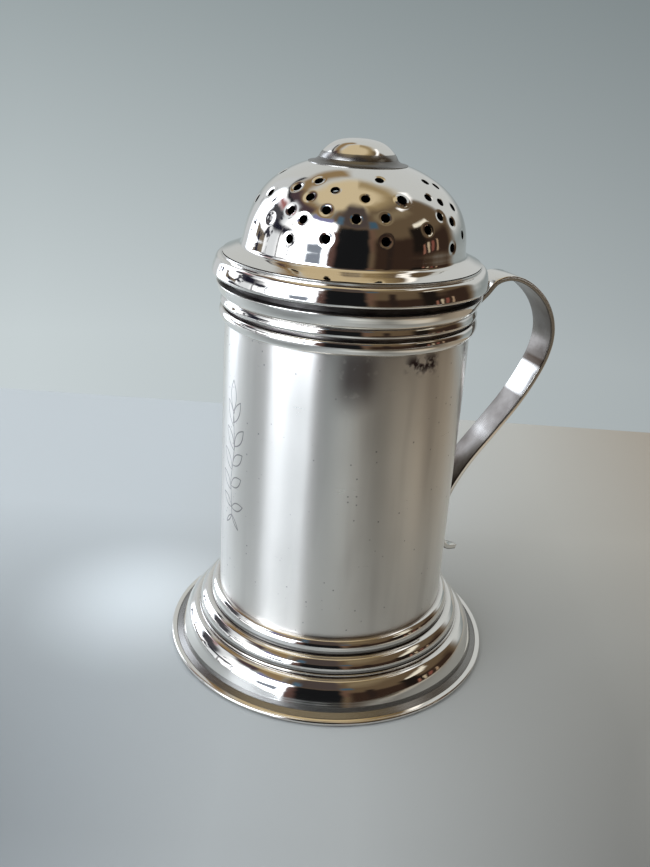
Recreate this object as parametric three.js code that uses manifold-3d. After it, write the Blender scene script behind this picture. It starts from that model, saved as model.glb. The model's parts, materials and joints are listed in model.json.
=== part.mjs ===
// Pepper caster in silver: a plain drum on a stepped foot, with a reeded collar, a flat strap handle
// and a pull-off cover whose pierced dome carries a low button finial.
// Millimetres, +Z up. The origin is the centre of the bounding box's underside, so the caster's own
// axis stands a little to -X of it, and the handle points along +X.
import * as THREE from "three";
import { mergeVertices } from "three/addons/utils/BufferGeometryUtils.js";
import Module from "manifold-3d";

// How round the turned pieces are, as counts of flats and of steps.
const roundSides = 40;
const beadSteps = 4;
const ovoloSteps = 5;
const domeSteps = 9;
const holeSides = 8;
const strapSteps = 44;

// Clearances.
const solderGap = 0.3; // between pieces that are soldered to one another
const bezelClearance = 0.3; // between the cover's bezel and the drum's mouth, all round
const weldDistance = 1e-4; // points nearer than this are one point

// Foot: a flange with a wire round its edge, and a stepped moulding on it.
const edgeWireWidth = 0.7;
const edgeWireHeight = 0.9;
const flangeLip = 0.85; // how far the flange reaches beyond the large ovolo
const flangeWidth = 2.1;
const flangeFaceWidth = 1.1; // the flat ring underneath that meets the table
const flangeEdgeHeight = 0.8;
const flangeRise = 0.6;
const flangeGauge = 0.8;
const footWall = 0.85;
const largeOvoloWidth = 3.3;
const largeOvoloHeight = 3.7;
const ovoloFootHeight = 0.4; // upright strip under each ovolo
const footReveal = 0.15; // narrow ledge on each side of the fillet
const filletWidth = 0.65;
const filletHeight = 0.6;
const middleOvoloWidth = 1.2;
const middleOvoloHeight = 1.9;
const smallOvoloWidth = 1.43;
const smallOvoloHeight = 1.85;

// Drum.
const drumRadius = 20.72;
const mouthDrawIn = 0.22; // how far the drum draws in below the collar
const drumWall = 0.7;
const drumShow = 49.95; // plain wall between the foot and the collar
const drumDrawIn = 11.0; // height over which the drum draws in
const drumTail = 4.3; // how far the drum reaches down inside the foot
const baseInset = 0.9; // how far the floor sits above the drum's lower end
const baseGauge = 0.8;

// Collar: two reeds and a rounded band, soldered round the drum.
const lowerReedDepth = 0.85; // how far each ring stands out from its bore
const lowerReedHeight = 2.5;
const upperReedDepth = 0.5;
const upperReedHeight = 1.85;
const bandDepth = 1.3;
const bandHeight = 2.9;
const collarSeam = 0.12; // visible gap between one collar ring and the next

// Cover: rim, dome and bezel.
const rimOverhang = 0.55; // how far the rim's underside reaches beyond the collar
const rimSwell = 0.25; // and how far its ovolo swells beyond that
const rimOvoloWidth = 1.6;
const rimCrestShare = 0.13; // share of the rim's height below its widest point
const rimHeight = 2.85;
const rimSheet = 0.75;
const stepHeight = 0.4;
const bezelWall = 0.6;
const bezelDepth = 7.0;
const domeHeight = 15.66; // from the level where its wall is upright to its crown
const domeSink = 0.9; // how far that level lies below the top of the rim's step
const domeSheet = 0.7;
const domeSquareness = 2.65; // exponent of the dome's superellipse, 2 would be a round one
const flareInset = 0.15; // how far the flare stands back from the edge of the step
const flareWidth = 2.85;
const flareHeight = 2.6;
const flareGauge = 0.55;
const holeRadius = 0.7;

// Finial: a disc with a button on it.
const plateRadius = 8.5;
const plateGauge = 0.4;
const plateDish = 0.3; // how far the disc rises in a hollow curve from its edge to the button
const plateShow = 2.05; // width of the disc that shows round the button
const buttonNeckWidth = 0.35;
const buttonNeckHeight = 0.5;
const buttonHeight = 2.67;

// Handle: a flat strap.
const strapWidth = 6.2;
const strapGauge = 0.9;
const strapChamfer = 0.2;
const strapReach = 19.58; // from the drum's wall to the outermost point of the strap
const strapTopOverCollar = 0.05; // the strap's highest point above the top of the collar
const tailOverFoot = 2.35; // middle of the tail's tip above the top of the foot
const upperEndBelowCollar = 13.3;
const upperEndLift = 0.8; // how far the strap's upper end is turned out from the drum
const upperEndTaper = 3.2; // length of that turned-out, tapered end

// Heights, from the table up.
const zFlangeCrest = flangeEdgeHeight + flangeRise;
const zFoot = zFlangeCrest + solderGap;
const zLargeOvolo = zFoot + ovoloFootHeight;
const zFillet = zLargeOvolo + largeOvoloHeight;
const zMiddleOvolo = zFillet + filletHeight + ovoloFootHeight;
const zSmallOvolo = zMiddleOvolo + middleOvoloHeight + ovoloFootHeight;
const zFootTop = zSmallOvolo + smallOvoloHeight;
const zDrumEnd = zFootTop - drumTail;
const zLowerReed = zFootTop + drumShow;
const zUpperReed = zLowerReed + lowerReedHeight + collarSeam;
const zBand = zUpperReed + upperReedHeight + collarSeam;
const zMouth = zBand + bandHeight;
const zRim = zMouth + solderGap;
const zStep = zRim + rimHeight;
const zStepTop = zStep + stepHeight;
const zDome = zStepTop - domeSink;
const zFlare = zStepTop + solderGap;

// Radii of the foot, from the drum outwards.
const footBore = drumRadius + solderGap;
const smallOvoloRadius = footBore + smallOvoloWidth;
const middleOvoloRadius = smallOvoloRadius + middleOvoloWidth;
const filletRadius = middleOvoloRadius + footReveal + filletWidth;
const largeOvoloInner = filletRadius + footReveal;
const largeOvoloRadius = largeOvoloInner + largeOvoloWidth;
const flangeRadius = largeOvoloRadius + flangeLip;
const footOuter = flangeRadius + solderGap + edgeWireWidth;

// Radii of the collar, from the drum's mouth outwards.
const mouthRadius = drumRadius - mouthDrawIn;
const mouthBore = mouthRadius - drumWall;
const ringBore = mouthRadius + solderGap;
const lowerReedRadius = ringBore + lowerReedDepth;
const upperReedRadius = ringBore + upperReedDepth;
const bandRadius = ringBore + bandDepth;

// Radii of the cover, from the collar that it sits on and the mouth that its bezel fits.
const rimUndersideRadius = bandRadius + rimOverhang;
const rimRadius = rimUndersideRadius + rimSwell;
const stepRadius = rimRadius - rimOvoloWidth;
const flareRadius = stepRadius - flareInset;
const domeRadius = flareRadius - flareWidth;
const bezelRadius = mouthBore - bezelClearance;
const bezelBore = bezelRadius - bezelWall;

// Radii of the finial.
const buttonRadius = plateRadius - plateShow;
const buttonShoulderRadius = buttonRadius - buttonNeckWidth;

const silver = (name, color, roughness) =>
  new THREE.MeshStandardMaterial({ name, color, roughness, metalness: 1 });
const polished = silver("polished_silver", 0xd9d6cf, 0.12);
const drumSilver = silver("drum_silver", 0xcfccc6, 0.26);
const strapSilver = silver("strap_silver", 0xd4d1c9, 0.18);

// Points of an elliptical arc in the turning plane, as [radius, height] pairs.
function arc(r, z, rx, rz, fromDeg, toDeg, steps) {
  const points = [];
  for (let i = 0; i <= steps; i++) {
    const t = THREE.MathUtils.degToRad(fromDeg + ((toDeg - fromDeg) * i) / steps);
    points.push([r + rx * Math.cos(t), z + rz * Math.sin(t)]);
  }
  return points;
}

// A closed profile turned round the caster's axis. The profile may run either way round.
function turned(points) {
  let area = 0;
  points.forEach(([r, z], i) => {
    const [r2, z2] = points[(i + 1) % points.length];
    area += (r * z2 - r2 * z) / 2;
  });
  const run = area > 0 ? points : [...points].reverse();
  const onAxis = run.findIndex(([r]) => r === 0);
  const start = onAxis < 0 ? 0 : run.findIndex(([r], i) => r === 0 && run.at(i - 1)[0] === 0);
  const loop = [...run.slice(start), ...run.slice(0, start)];
  if (onAxis < 0) loop.push(loop[0]);
  const profile = loop.map(([r, z]) => new THREE.Vector2(r, z));
  const geometry = new THREE.LatheGeometry(profile, roundSides);
  return geometry.rotateX(Math.PI / 2);
}

// A ring of half-round section standing on a bore, flat on the inside.
function reedProfile(bore, radius, low, height) {
  const outside = arc(bore, low + height / 2, radius - bore, height / 2, -70, 70, beadSteps + 1);
  return [[bore, low], ...outside, [bore, low + height]];
}

// The foot's edge wire, with its flat underside on the table.
function edgeWire() {
  const inner = flangeRadius + solderGap;
  const half = edgeWireHeight / 2;
  const outside = arc(inner + edgeWireWidth / 2, half, edgeWireWidth / 2, half, -60, 90, beadSteps);
  return turned([[inner, 0], ...outside, [inner, edgeWireHeight]]);
}

function flange() {
  const inner = flangeRadius - flangeWidth;
  const face = flangeRadius - flangeFaceWidth;
  return turned([
    [inner, zFlangeCrest - flangeGauge],
    [face, 0],
    [flangeRadius, 0],
    [flangeRadius, flangeEdgeHeight],
    [face, zFlangeCrest],
    [inner, zFlangeCrest],
  ]);
}

function footMoulding() {
  const outside = [
    [largeOvoloRadius, zFoot],
    ...arc(largeOvoloInner, zLargeOvolo, largeOvoloWidth, largeOvoloHeight, 0, 90, ovoloSteps),
    [filletRadius, zFillet],
    [filletRadius, zFillet + filletHeight],
    [filletRadius - filletWidth, zFillet + filletHeight],
    ...arc(smallOvoloRadius, zMiddleOvolo, middleOvoloWidth, middleOvoloHeight, 0, 90, beadSteps),
    ...arc(footBore, zSmallOvolo, smallOvoloRadius - footBore, smallOvoloHeight, 0, 90, beadSteps),
  ];
  const inside = [
    [footBore, zSmallOvolo],
    [smallOvoloRadius - footWall / 2, zMiddleOvolo],
    [filletRadius - footWall, zFillet - footWall / 2],
    [largeOvoloInner + largeOvoloWidth / 2, zLargeOvolo + largeOvoloHeight / 2],
    [largeOvoloRadius - footWall, zLargeOvolo + ovoloFootHeight],
    [largeOvoloRadius - footWall, zFoot],
  ];
  return turned([...outside, ...inside]);
}

function drum() {
  return turned([
    [drumRadius, zDrumEnd],
    [drumRadius, zLowerReed - drumDrawIn],
    [mouthRadius, zLowerReed],
    [mouthRadius, zMouth],
    [mouthBore, zMouth],
    [mouthBore, zLowerReed],
    [drumRadius - drumWall, zLowerReed - drumDrawIn],
    [drumRadius - drumWall, zDrumEnd],
  ]);
}

function baseDisc() {
  const low = zDrumEnd + baseInset;
  const radius = drumRadius - drumWall - solderGap;
  return turned([[0, low], [radius, low], [radius, low + baseGauge], [0, low + baseGauge]]);
}

const lowerReed = () => turned(reedProfile(ringBore, lowerReedRadius, zLowerReed, lowerReedHeight));
const upperReed = () => turned(reedProfile(ringBore, upperReedRadius, zUpperReed, upperReedHeight));
const collarBand = () => turned(reedProfile(ringBore, bandRadius, zBand, bandHeight));

// The rim is one sheet bent round: a flat underside, the ovolo and the step, open on the inside.
function rim() {
  const crest = zRim + rimHeight * rimCrestShare;
  const outside = [
    [bezelBore, zRim],
    [rimUndersideRadius, zRim],
    ...arc(stepRadius, crest, rimRadius - stepRadius, zStep - crest, 0, 80, ovoloSteps),
    [stepRadius, zStep],
    [stepRadius, zStepTop],
  ];
  const low = zRim + rimSheet;
  const inside = [
    [stepRadius - rimSheet, zStepTop],
    [stepRadius - rimSheet, zStep - rimSheet / 2],
    [stepRadius, zStep - rimSheet],
    [rimUndersideRadius - rimSheet, low],
    [bezelBore, low],
  ];
  return turned([...outside, ...inside]);
}

// The dome's wall at a share of a quarter turn, 0 at its upright foot and 1 at its crown,
// drawn in by a thickness.
function domePoint(quarterShare, thickness) {
  const t = (quarterShare * Math.PI) / 2;
  const power = 2 / domeSquareness;
  const r = (domeRadius - thickness) * Math.cos(t) ** power;
  return [quarterShare === 1 ? 0 : r, zDome + (domeHeight - thickness) * Math.sin(t) ** power];
}

// The share of the quarter turn at which the wall reaches a share of the dome's height.
const quarterAtRise = (riseShare) => Math.asin(riseShare ** (domeSquareness / 2)) / (Math.PI / 2);

function domeShell() {
  const wallShare = quarterAtRise((zFlare + flareHeight - zDome) / domeHeight);
  const shareAt = (i) => wallShare + ((1 - wallShare) * i) / domeSteps;
  const outside = [];
  const inside = [];
  for (let i = 0; i <= domeSteps; i++) {
    outside.push(domePoint(shareAt(i), 0));
    inside.push(domePoint(shareAt(i), domeSheet));
  }
  // The flare is a hollow curve from the rim's step up into the wall.
  const [wallR, wallZ] = outside[0];
  const flareRun = flareRadius - wallR;
  const flare = arc(flareRadius, wallZ, flareRun, wallZ - zFlare - flareGauge, 270, 195, beadSteps);
  return turned([
    [flareRadius, zFlare],
    ...flare,
    ...outside,
    ...inside.reverse(),
    [domeRadius - domeSheet, zFlare],
  ]);
}

// Where the dome is pierced, as an azimuth in degrees from the handle and a share of the dome's
// height. The rows are uneven because they were punched by eye, and go round twice.
const piercingRiseShares = [
  [-57, 0.31], [-146, 0.35], [-198, 0.39], [-127, 0.395], [-42.5, 0.4], [-98.5, 0.405],
  [-162, 0.495], [-75, 0.5], [-141, 0.54], [-54, 0.545], [-63.5, 0.605], [-113.5, 0.585],
  [-150, 0.6], [-191, 0.605], [-98.5, 0.605], [-129.5, 0.64], [-44, 0.66], [-175, 0.7],
  [-56, 0.72], [-141.5, 0.73], [-87, 0.745], [-108.5, 0.755], [-65, 0.765], [-154.5, 0.79],
  [-127.5, 0.805], [-41, 0.835], [-197, 0.86], [-142, 0.86], [-50, 0.875], [-96, 0.895],
];

// One punch, a short cylinder through the wall and square to it.
function punch(azimuthDeg, riseShare) {
  const [r, z] = domePoint(quarterAtRise(riseShare), domeSheet / 2);
  const lean = Math.atan2(
    riseShare ** (domeSquareness - 1) / domeHeight,
    (r / domeRadius) ** (domeSquareness - 1) / domeRadius,
  );
  const azimuth = THREE.MathUtils.degToRad(azimuthDeg);
  const out = new THREE.Vector3(
    Math.cos(lean) * Math.cos(azimuth),
    Math.cos(lean) * Math.sin(azimuth),
    Math.sin(lean),
  );
  const turn = new THREE.Quaternion().setFromUnitVectors(new THREE.Vector3(0, 1, 0), out);
  return new THREE.CylinderGeometry(holeRadius, holeRadius, 4 * domeSheet, holeSides)
    .applyQuaternion(turn)
    .translate(r * Math.cos(azimuth), r * Math.sin(azimuth), z);
}

const wasm = await Module();
wasm.setup();

function toSolid(geometry) {
  const bare = geometry.clone().deleteAttribute("normal").deleteAttribute("uv");
  const merged = mergeVertices(bare, weldDistance);
  return new wasm.Manifold(
    new wasm.Mesh({
      numProp: 3,
      vertProperties: merged.attributes.position.array,
      triVerts: new Uint32Array(merged.index.array),
    }),
  );
}

function toGeometry(solid) {
  const mesh = solid.getMesh();
  const geometry = new THREE.BufferGeometry();
  geometry.setAttribute("position", new THREE.BufferAttribute(mesh.vertProperties, 3));
  geometry.setIndex(new THREE.BufferAttribute(mesh.triVerts, 1));
  geometry.computeVertexNormals();
  return geometry;
}

function piercedDome() {
  let solid = toSolid(domeShell());
  for (const [azimuth, riseShare] of piercingRiseShares) {
    for (const halfTurn of [0, 180]) {
      solid = solid.subtract(toSolid(punch(azimuth + halfTurn, riseShare)));
    }
  }
  return toGeometry(solid);
}

function bezel() {
  const top = zRim - solderGap;
  const low = zMouth - bezelDepth;
  return turned([[bezelRadius, low], [bezelRadius, top], [bezelBore, top], [bezelBore, low]]);
}

// The disc follows the crown of the dome underneath, and its top is hollowed up to the button.
const dishShares = [1, 0.94, 0.88, 0.82, 0.76, 0.5, 0.25, 0];
const crownAt = (r) => zDome + domeHeight * (1 - (r / domeRadius) ** domeSquareness) ** (1 / domeSquareness);
const plateUnder = (r) => crownAt(r) + solderGap;
const plateRise = (r) => plateDish * Math.min(1, (plateRadius - r) / plateShow) ** 2;
const plateTop = (r) => plateUnder(r) + plateGauge + plateRise(r);

function finialPlate() {
  const under = dishShares.map((share) => [plateRadius * share, plateUnder(plateRadius * share)]);
  const top = dishShares.map((share) => [plateRadius * share, plateTop(plateRadius * share)]);
  return turned([...under, ...top.reverse()]);
}

function finialButton() {
  const under = dishShares.map((share) => [buttonRadius * share, plateTop(buttonRadius * share) + solderGap]);
  const foot = under[0][1];
  const neck = arc(buttonRadius, foot + buttonNeckHeight, buttonRadius - buttonShoulderRadius,
    buttonNeckHeight - plateGauge / 2, 270, 180, beadSteps);
  const shoulder = neck.at(-1)[1];
  const crown = arc(0, shoulder, buttonShoulderRadius, foot + buttonHeight - shoulder, 0, 90, ovoloSteps);
  crown[crown.length - 1][0] = 0;
  return turned([...under.reverse(), ...neck, ...crown.slice(1)]);
}

// The strap's middle line in the handle's plane. Where it lies on the drum or the collar its place
// comes from them, and the free bow is given as shares of its reach and height.
const strapSeat = drumRadius + solderGap + strapGauge / 2;
const strapCollarSeat = lowerReedRadius + solderGap + strapGauge / 2;
const strapOut = drumRadius + strapReach - strapGauge / 2;
const strapTop = zMouth + strapTopOverCollar - strapGauge / 2;
const tailTip = zFootTop + tailOverFoot;
const upperEnd = zLowerReed - upperEndBelowCollar;
// The turned-out end is given as shares of its lift, length and the strap's width.
const upperEndShares = [[1, 0, 0.45], [0.25, 0.5, 0.95], [0, 1, 1]];
const bowShares = [
  [0.21, 0.955, 1], [0.3, 0.988, 1], [0.43, 1, 1], [0.58, 0.99, 1], [0.74, 0.958, 1],
  [0.88, 0.91, 1], [0.97, 0.852, 1], [1, 0.794, 1], [0.975, 0.734, 1], [0.895, 0.666, 1],
  [0.73, 0.571, 1], [0.49, 0.465, 1], [0.23, 0.353, 1], [0.06, 0.25, 1], [0, 0.165, 0.96],
  [0, 0.112, 0.86], [0.045, 0.06, 0.72], [0.155, 0.018, 0.5], [0.3, 0, 0.12],
];

function strapLine() {
  const height = strapTop - tailTip;
  const line = upperEndShares.map(([liftShare, lengthShare, widthShare]) => [
    strapSeat + liftShare * upperEndLift,
    upperEnd + lengthShare * upperEndTaper,
    widthShare,
  ]);
  line.push([strapSeat, zLowerReed - upperEndTaper, 1]);
  line.push([strapCollarSeat, zLowerReed + lowerReedHeight / 2, 1]);
  for (const [outShare, riseShare, widthShare] of bowShares) {
    line.push([strapSeat + outShare * (strapOut - strapSeat), tailTip + riseShare * height, widthShare]);
  }
  return line;
}

// A strap of chamfered section along that line, closed at both ends.
function strap() {
  const line = strapLine();
  const places = line.map(([x, z]) => new THREE.Vector3(x, 0, z));
  const curve = new THREE.CatmullRomCurve3(places, false, "centripetal");
  const positions = [];
  const index = [];
  const sides = 8;
  for (let i = 0; i <= strapSteps; i++) {
    const t = i / strapSteps;
    const at = curve.getPoint(t);
    const along = curve.getTangent(t);
    const side = new THREE.Vector3(-along.z, 0, along.x);
    const place = t * (line.length - 1);
    const from = Math.min(Math.floor(place), line.length - 2);
    const widthShare = THREE.MathUtils.lerp(line[from][2], line[from + 1][2], place - from);
    const w = (strapWidth / 2) * widthShare;
    const g = strapGauge / 2;
    const c = Math.min(strapChamfer, w / 2);
    const ring = [
      [w - c, g], [w, g - c], [w, c - g], [w - c, -g],
      [c - w, -g], [-w, c - g], [-w, g - c], [c - w, g],
    ];
    for (const [across, off] of ring) {
      positions.push(at.x + side.x * off, across, at.z + side.z * off);
    }
  }
  const last = strapSteps * sides;
  for (let i = 0; i < strapSteps; i++) {
    for (let j = 0; j < sides; j++) {
      const a = i * sides + j;
      const b = i * sides + ((j + 1) % sides);
      index.push(a, a + sides, b, b, a + sides, b + sides);
    }
  }
  for (let j = 1; j < sides - 1; j++) {
    index.push(0, j, j + 1);
    index.push(last, last + j + 1, last + j);
  }
  const geometry = new THREE.BufferGeometry();
  geometry.setAttribute("position", new THREE.Float32BufferAttribute(positions, 3));
  geometry.setIndex(index);
  geometry.computeVertexNormals();
  return geometry;
}

function piece(name, geometry, material) {
  const mesh = new THREE.Mesh(geometry, material.clone());
  mesh.name = name;
  return mesh;
}

const body = new THREE.Group();
body.add(
  piece("body_tube", drum(), drumSilver),
  piece("base_disc", baseDisc(), drumSilver),
  piece("foot_edge_wire", edgeWire(), polished),
  piece("foot_flange", flange(), polished),
  piece("foot_moulding", footMoulding(), polished),
  piece("collar_reed_lower", lowerReed(), polished),
  piece("collar_reed_upper", upperReed(), polished),
  piece("collar_moulding", collarBand(), polished),
  piece("handle_strap", strap(), strapSilver),
);

const cover = new THREE.Group();
cover.add(
  piece("cover_bezel", bezel(), drumSilver),
  piece("cover_rim", rim(), polished),
  piece("cover_dome", piercedDome(), polished),
  piece("finial_plate", finialPlate(), polished),
  piece("finial_button", finialButton(), polished),
);

const caster = new THREE.Group();
caster.add(body, cover);
caster.position.x = (footOuter - (drumRadius + strapReach)) / 2;

const part = new THREE.Group();
part.add(caster);

export default part;
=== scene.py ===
"""Pepper caster in antique silver: a plain drum on a stepped foot, with a reeded collar, a strap
handle and a pierced, pull-off cover. The pieces are turned, lofted and punched by geometry nodes
round the frame's nodes, and finished as hand-polished sterling silver."""

import json
import math
from functools import partial

import bpy
from mathutils import Matrix, Vector

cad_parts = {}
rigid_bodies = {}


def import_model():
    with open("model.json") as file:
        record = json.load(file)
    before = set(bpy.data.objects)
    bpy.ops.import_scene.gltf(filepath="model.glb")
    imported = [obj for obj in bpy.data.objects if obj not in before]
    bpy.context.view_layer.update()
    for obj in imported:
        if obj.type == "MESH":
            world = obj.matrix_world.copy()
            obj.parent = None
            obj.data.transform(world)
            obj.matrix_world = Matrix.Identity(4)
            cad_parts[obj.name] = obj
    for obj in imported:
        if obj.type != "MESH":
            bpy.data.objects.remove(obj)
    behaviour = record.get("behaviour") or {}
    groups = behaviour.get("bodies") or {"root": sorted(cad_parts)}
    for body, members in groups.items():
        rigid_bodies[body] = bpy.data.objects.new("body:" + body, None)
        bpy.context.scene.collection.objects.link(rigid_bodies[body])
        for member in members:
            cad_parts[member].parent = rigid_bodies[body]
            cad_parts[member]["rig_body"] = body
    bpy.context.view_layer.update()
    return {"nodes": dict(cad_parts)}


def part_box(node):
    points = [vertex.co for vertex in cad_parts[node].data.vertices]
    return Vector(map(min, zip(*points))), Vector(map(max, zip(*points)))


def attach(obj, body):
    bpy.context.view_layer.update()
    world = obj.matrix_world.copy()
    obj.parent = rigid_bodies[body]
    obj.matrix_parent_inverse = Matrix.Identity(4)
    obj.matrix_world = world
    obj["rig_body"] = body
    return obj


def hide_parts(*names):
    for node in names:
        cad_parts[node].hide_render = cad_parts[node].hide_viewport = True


bl_info = {
    "name": "Pepper caster",
    "version": (1, 0, 0),
    "blender": (4, 5, 0),
    "location": "3D View > Sidebar > Caster",
    "description": "Builds an antique silver pepper caster round its packed frame",
    "category": "Add Mesh",
}

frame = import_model()

MM = 0.001
TURN = 2 * math.pi

# The photograph's camera, in a frame that stands on the caster's axis and faces the camera.
PHOTO_HEIGHT = 867
FOCAL_PIXELS = 880
SENSOR_MM = 36
CAMERA_DISTANCE = 145.2 * MM
CAMERA_HEIGHT = 99.74 * MM
CAMERA_PITCH = math.radians(22.402)
CAMERA_YAW = math.radians(-1.009)
CAMERA_ROLL = math.radians(3.589)
HANDLE_TURN = math.radians(-23)
FACING = Matrix.Rotation(HANDLE_TURN, 3, "Z")

# The caster's own axis, and the ends of its pieces in millimetres, as the frame gives them.
drum_low, drum_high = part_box("body_tube")
AXIS = Vector(((drum_low.x + drum_high.x) / 2, 0, 0))


def span(node):
    """The outer radius of a round node and its lowest and highest level, in millimetres."""
    low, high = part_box(node)
    return (high.y - low.y) / 2 / MM, low.z / MM, high.z / MM


DRUM_R, DRUM_END, MOUTH = span("body_tube")
FLOOR_R, FLOOR_LOW, FLOOR_HIGH = span("base_disc")
WIRE_R, _, WIRE_HIGH = span("foot_edge_wire")
FLANGE_R, _, FLANGE_HIGH = span("foot_flange")
FOOT_TOP = span("foot_moulding")[-1]
REED_R, REED_LOW, REED_HIGH = span("collar_reed_lower")
BEZEL_R, BEZEL_LOW, BEZEL_HIGH = span("cover_bezel")
RIM_R, RIM_LOW, RIM_HIGH = span("cover_rim")
FLARE_R, FLARE_LOW, CROWN = span("cover_dome")
FINIAL_TOP = span("finial_button")[-1]
STRAP_REACH = (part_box("handle_strap")[1].x - AXIS.x) / MM


class CasterSizes(bpy.types.PropertyGroup):
    """Sizes of the detail that is added to the frame's pieces."""

    sides: bpy.props.IntProperty(
        name="Sides", description="Flats in one turn of a turned piece", default=256, min=24
    )
    unevenness: bpy.props.FloatProperty(
        name="Unevenness",
        description="How far the hammer and the buff left the surface uneven",
        default=0.025 * MM,
        unit="LENGTH",
        precision=6,
    )
    wave: bpy.props.FloatProperty(
        name="Wave",
        description="Distance from one uneven spot to the next",
        default=9 * MM,
        unit="LENGTH",
        precision=5,
    )
    edge_rounding: bpy.props.FloatProperty(
        name="Edge rounding",
        description="Radius that two centuries of polishing left on an edge",
        default=0.14 * MM,
        unit="LENGTH",
        precision=6,
    )
    punch_radius: bpy.props.FloatProperty(
        name="Punch radius",
        description="Radius of the holes punched in the dome",
        default=0.7 * MM,
        unit="LENGTH",
        precision=6,
    )
    dimple_depth: bpy.props.FloatProperty(
        name="Dimple depth",
        description="How far the punch pressed the metal in round each hole",
        default=0.13 * MM,
        unit="LENGTH",
        precision=6,
    )


class CasterColours(bpy.types.PropertyGroup):
    """Colours of the silver and of the stage, as sRGB hex values."""

    silver: bpy.props.StringProperty(
        name="Silver", description="Polished sterling silver", default="#F2EEE7"
    )
    # The tarnish colour also paints the dark reflections under the drum's collar.
    tarnish: bpy.props.StringProperty(
        name="Tarnish", description="Tarnish left in the recesses", default="#54464A"
    )
    # The film is partly tarnish and partly a painted reflection of the brown room.
    film: bpy.props.StringProperty(
        name="Film", description="Brown film on the strap's inner side", default="#43382F"
    )
    # Near black: unpolished silver, painted darker as the shade inside the caster and in the
    # punched holes; recesses, ledges and the finial's cove are painted part way to it as shade.
    inside: bpy.props.StringProperty(
        name="Inside", description="Unpolished silver inside", default="#2E2A26"
    )
    # The table's tones carry painted light and shade: pale at the left, where more light falls,
    # and darker at the right and beyond it as painted shade.
    table: bpy.props.StringProperty(
        name="Table", description="Painted table top at its left", default="#B1B7B9"
    )
    table_right_shaded: bpy.props.StringProperty(
        name="Table right", description="Painted table top at its right", default="#A8A69E"
    )
    table_warm_shaded: bpy.props.StringProperty(
        name="Table warm", description="Painted table top beyond its right", default="#8F8270"
    )
    wall: bpy.props.StringProperty(
        name="Wall", description="Backdrop behind the table", default="#C7D0D2"
    )
    # The backdrop is painted darker above the caster and towards the right, as shade.
    wall_top_shaded: bpy.props.StringProperty(
        name="Wall top", description="Backdrop above the caster", default="#949EA0"
    )


def linear(text):
    """The linear colour of an sRGB hex value."""
    shares = [int(text[i : i + 2], 16) / 255 for i in (1, 3, 5)]
    return [s / 12.92 if s <= 0.04045 else ((s + 0.055) / 1.055) ** 2.4 for s in shares] + [1.0]


def add_node(tree, kind, inputs=(), out=0, **settings):
    """Adds a node with its settings and its inputs, in order or by name, each a value or another
    node's output. Returns one of its outputs, or all of them where out is None."""
    kind, usual = kind if isinstance(kind, tuple) else (kind, {})
    made = tree.nodes.new(kind)
    for name, value in {**usual, **settings}.items():
        setattr(made, name, value)
    for key, value in inputs.items() if isinstance(inputs, dict) else enumerate(inputs):
        if isinstance(value, bpy.types.NodeSocket):
            tree.links.new(value, made.inputs[key])
        else:
            made.inputs[key].default_value = value
    return made.outputs if out is None else made.outputs[out]


# Kinds of node by shorter names, some with the setting that they are used with.
MATH = "ShaderNodeMath"
PLUS = (MATH, {"operation": "ADD"})
MINUS = (MATH, {"operation": "SUBTRACT"})
TIMES = (MATH, {"operation": "MULTIPLY"})
OVER = (MATH, {"operation": "DIVIDE"})
LESSER = (MATH, {"operation": "MINIMUM"})
GREATER = (MATH, {"operation": "MAXIMUM"})
UNSIGNED = (MATH, {"operation": "ABSOLUTE"})
BELOW = (MATH, {"operation": "LESS_THAN"})
BEARING = (MATH, {"operation": "ARCTAN2"})
DEGREES = (MATH, {"operation": "DEGREES"})
VECTOR_MATH = "ShaderNodeVectorMath"
SCALED = (VECTOR_MATH, {"operation": "SCALE"})
DOT = (VECTOR_MATH, {"operation": "DOT_PRODUCT"})
DISTANCE = (VECTOR_MATH, {"operation": "DISTANCE"})
ABOUT_Z = ("ShaderNodeVectorRotate", {"rotation_type": "Z_AXIS"})
JOIN = "ShaderNodeCombineXYZ"
SPLIT = "ShaderNodeSeparateXYZ"
SPLIT_COLOUR = "ShaderNodeSeparateColor"
NOISE = "ShaderNodeTexNoise"
NOISE_MIDDLE = 0.5
FLAG = "ShaderNodeAttribute"
# Range takes a value, the range it comes from and the range it goes to.
RANGE = "ShaderNodeMapRange"
SMOOTH_RANGE = (RANGE, {"interpolation_type": "SMOOTHSTEP"})
# Mix takes its share, the colour at 0 and the colour at 1 at inputs 0, 6 and 7. Its colour is
# output 2.
MIX = ("ShaderNodeMix", {"data_type": "RGBA"})
PLACE = "GeometryNodeInputPosition"
MOVE = "GeometryNodeSetPosition"
SAMPLE = "GeometryNodeSampleIndex"
STORED = ("GeometryNodeInputNamedAttribute", {"data_type": "FLOAT"})
STORE = ("GeometryNodeStoreNamedAttribute", {"data_type": "FLOAT"})
REALIZE = "GeometryNodeRealizeInstances"


def new_tree(name, inputs):
    """A geometry tree with named inputs, the function that adds its nodes, and its inputs."""
    tree = bpy.data.node_groups.new(name, "GeometryNodeTree")
    tree.interface.new_socket("Geometry", in_out="OUTPUT", socket_type="NodeSocketGeometry")
    for label, kind in inputs.items():
        tree.interface.new_socket(label, in_out="INPUT", socket_type="NodeSocket" + kind)
    return tree, partial(add_node, tree), tree.nodes.new("NodeGroupInput").outputs


def end_tree(tree, geometry, material):
    """Shades a tree's result smooth, and ends in Realize Instances and Set Material."""
    smooth = add_node(tree, "GeometryNodeSetShadeSmooth", {"Geometry": geometry})
    real = add_node(tree, REALIZE, {"Geometry": smooth})
    finish = {"Geometry": real, "Material": material}
    painted = add_node(tree, "GeometryNodeSetMaterial", finish)
    add_node(tree, "NodeGroupOutput", (painted,), out=None)


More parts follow.
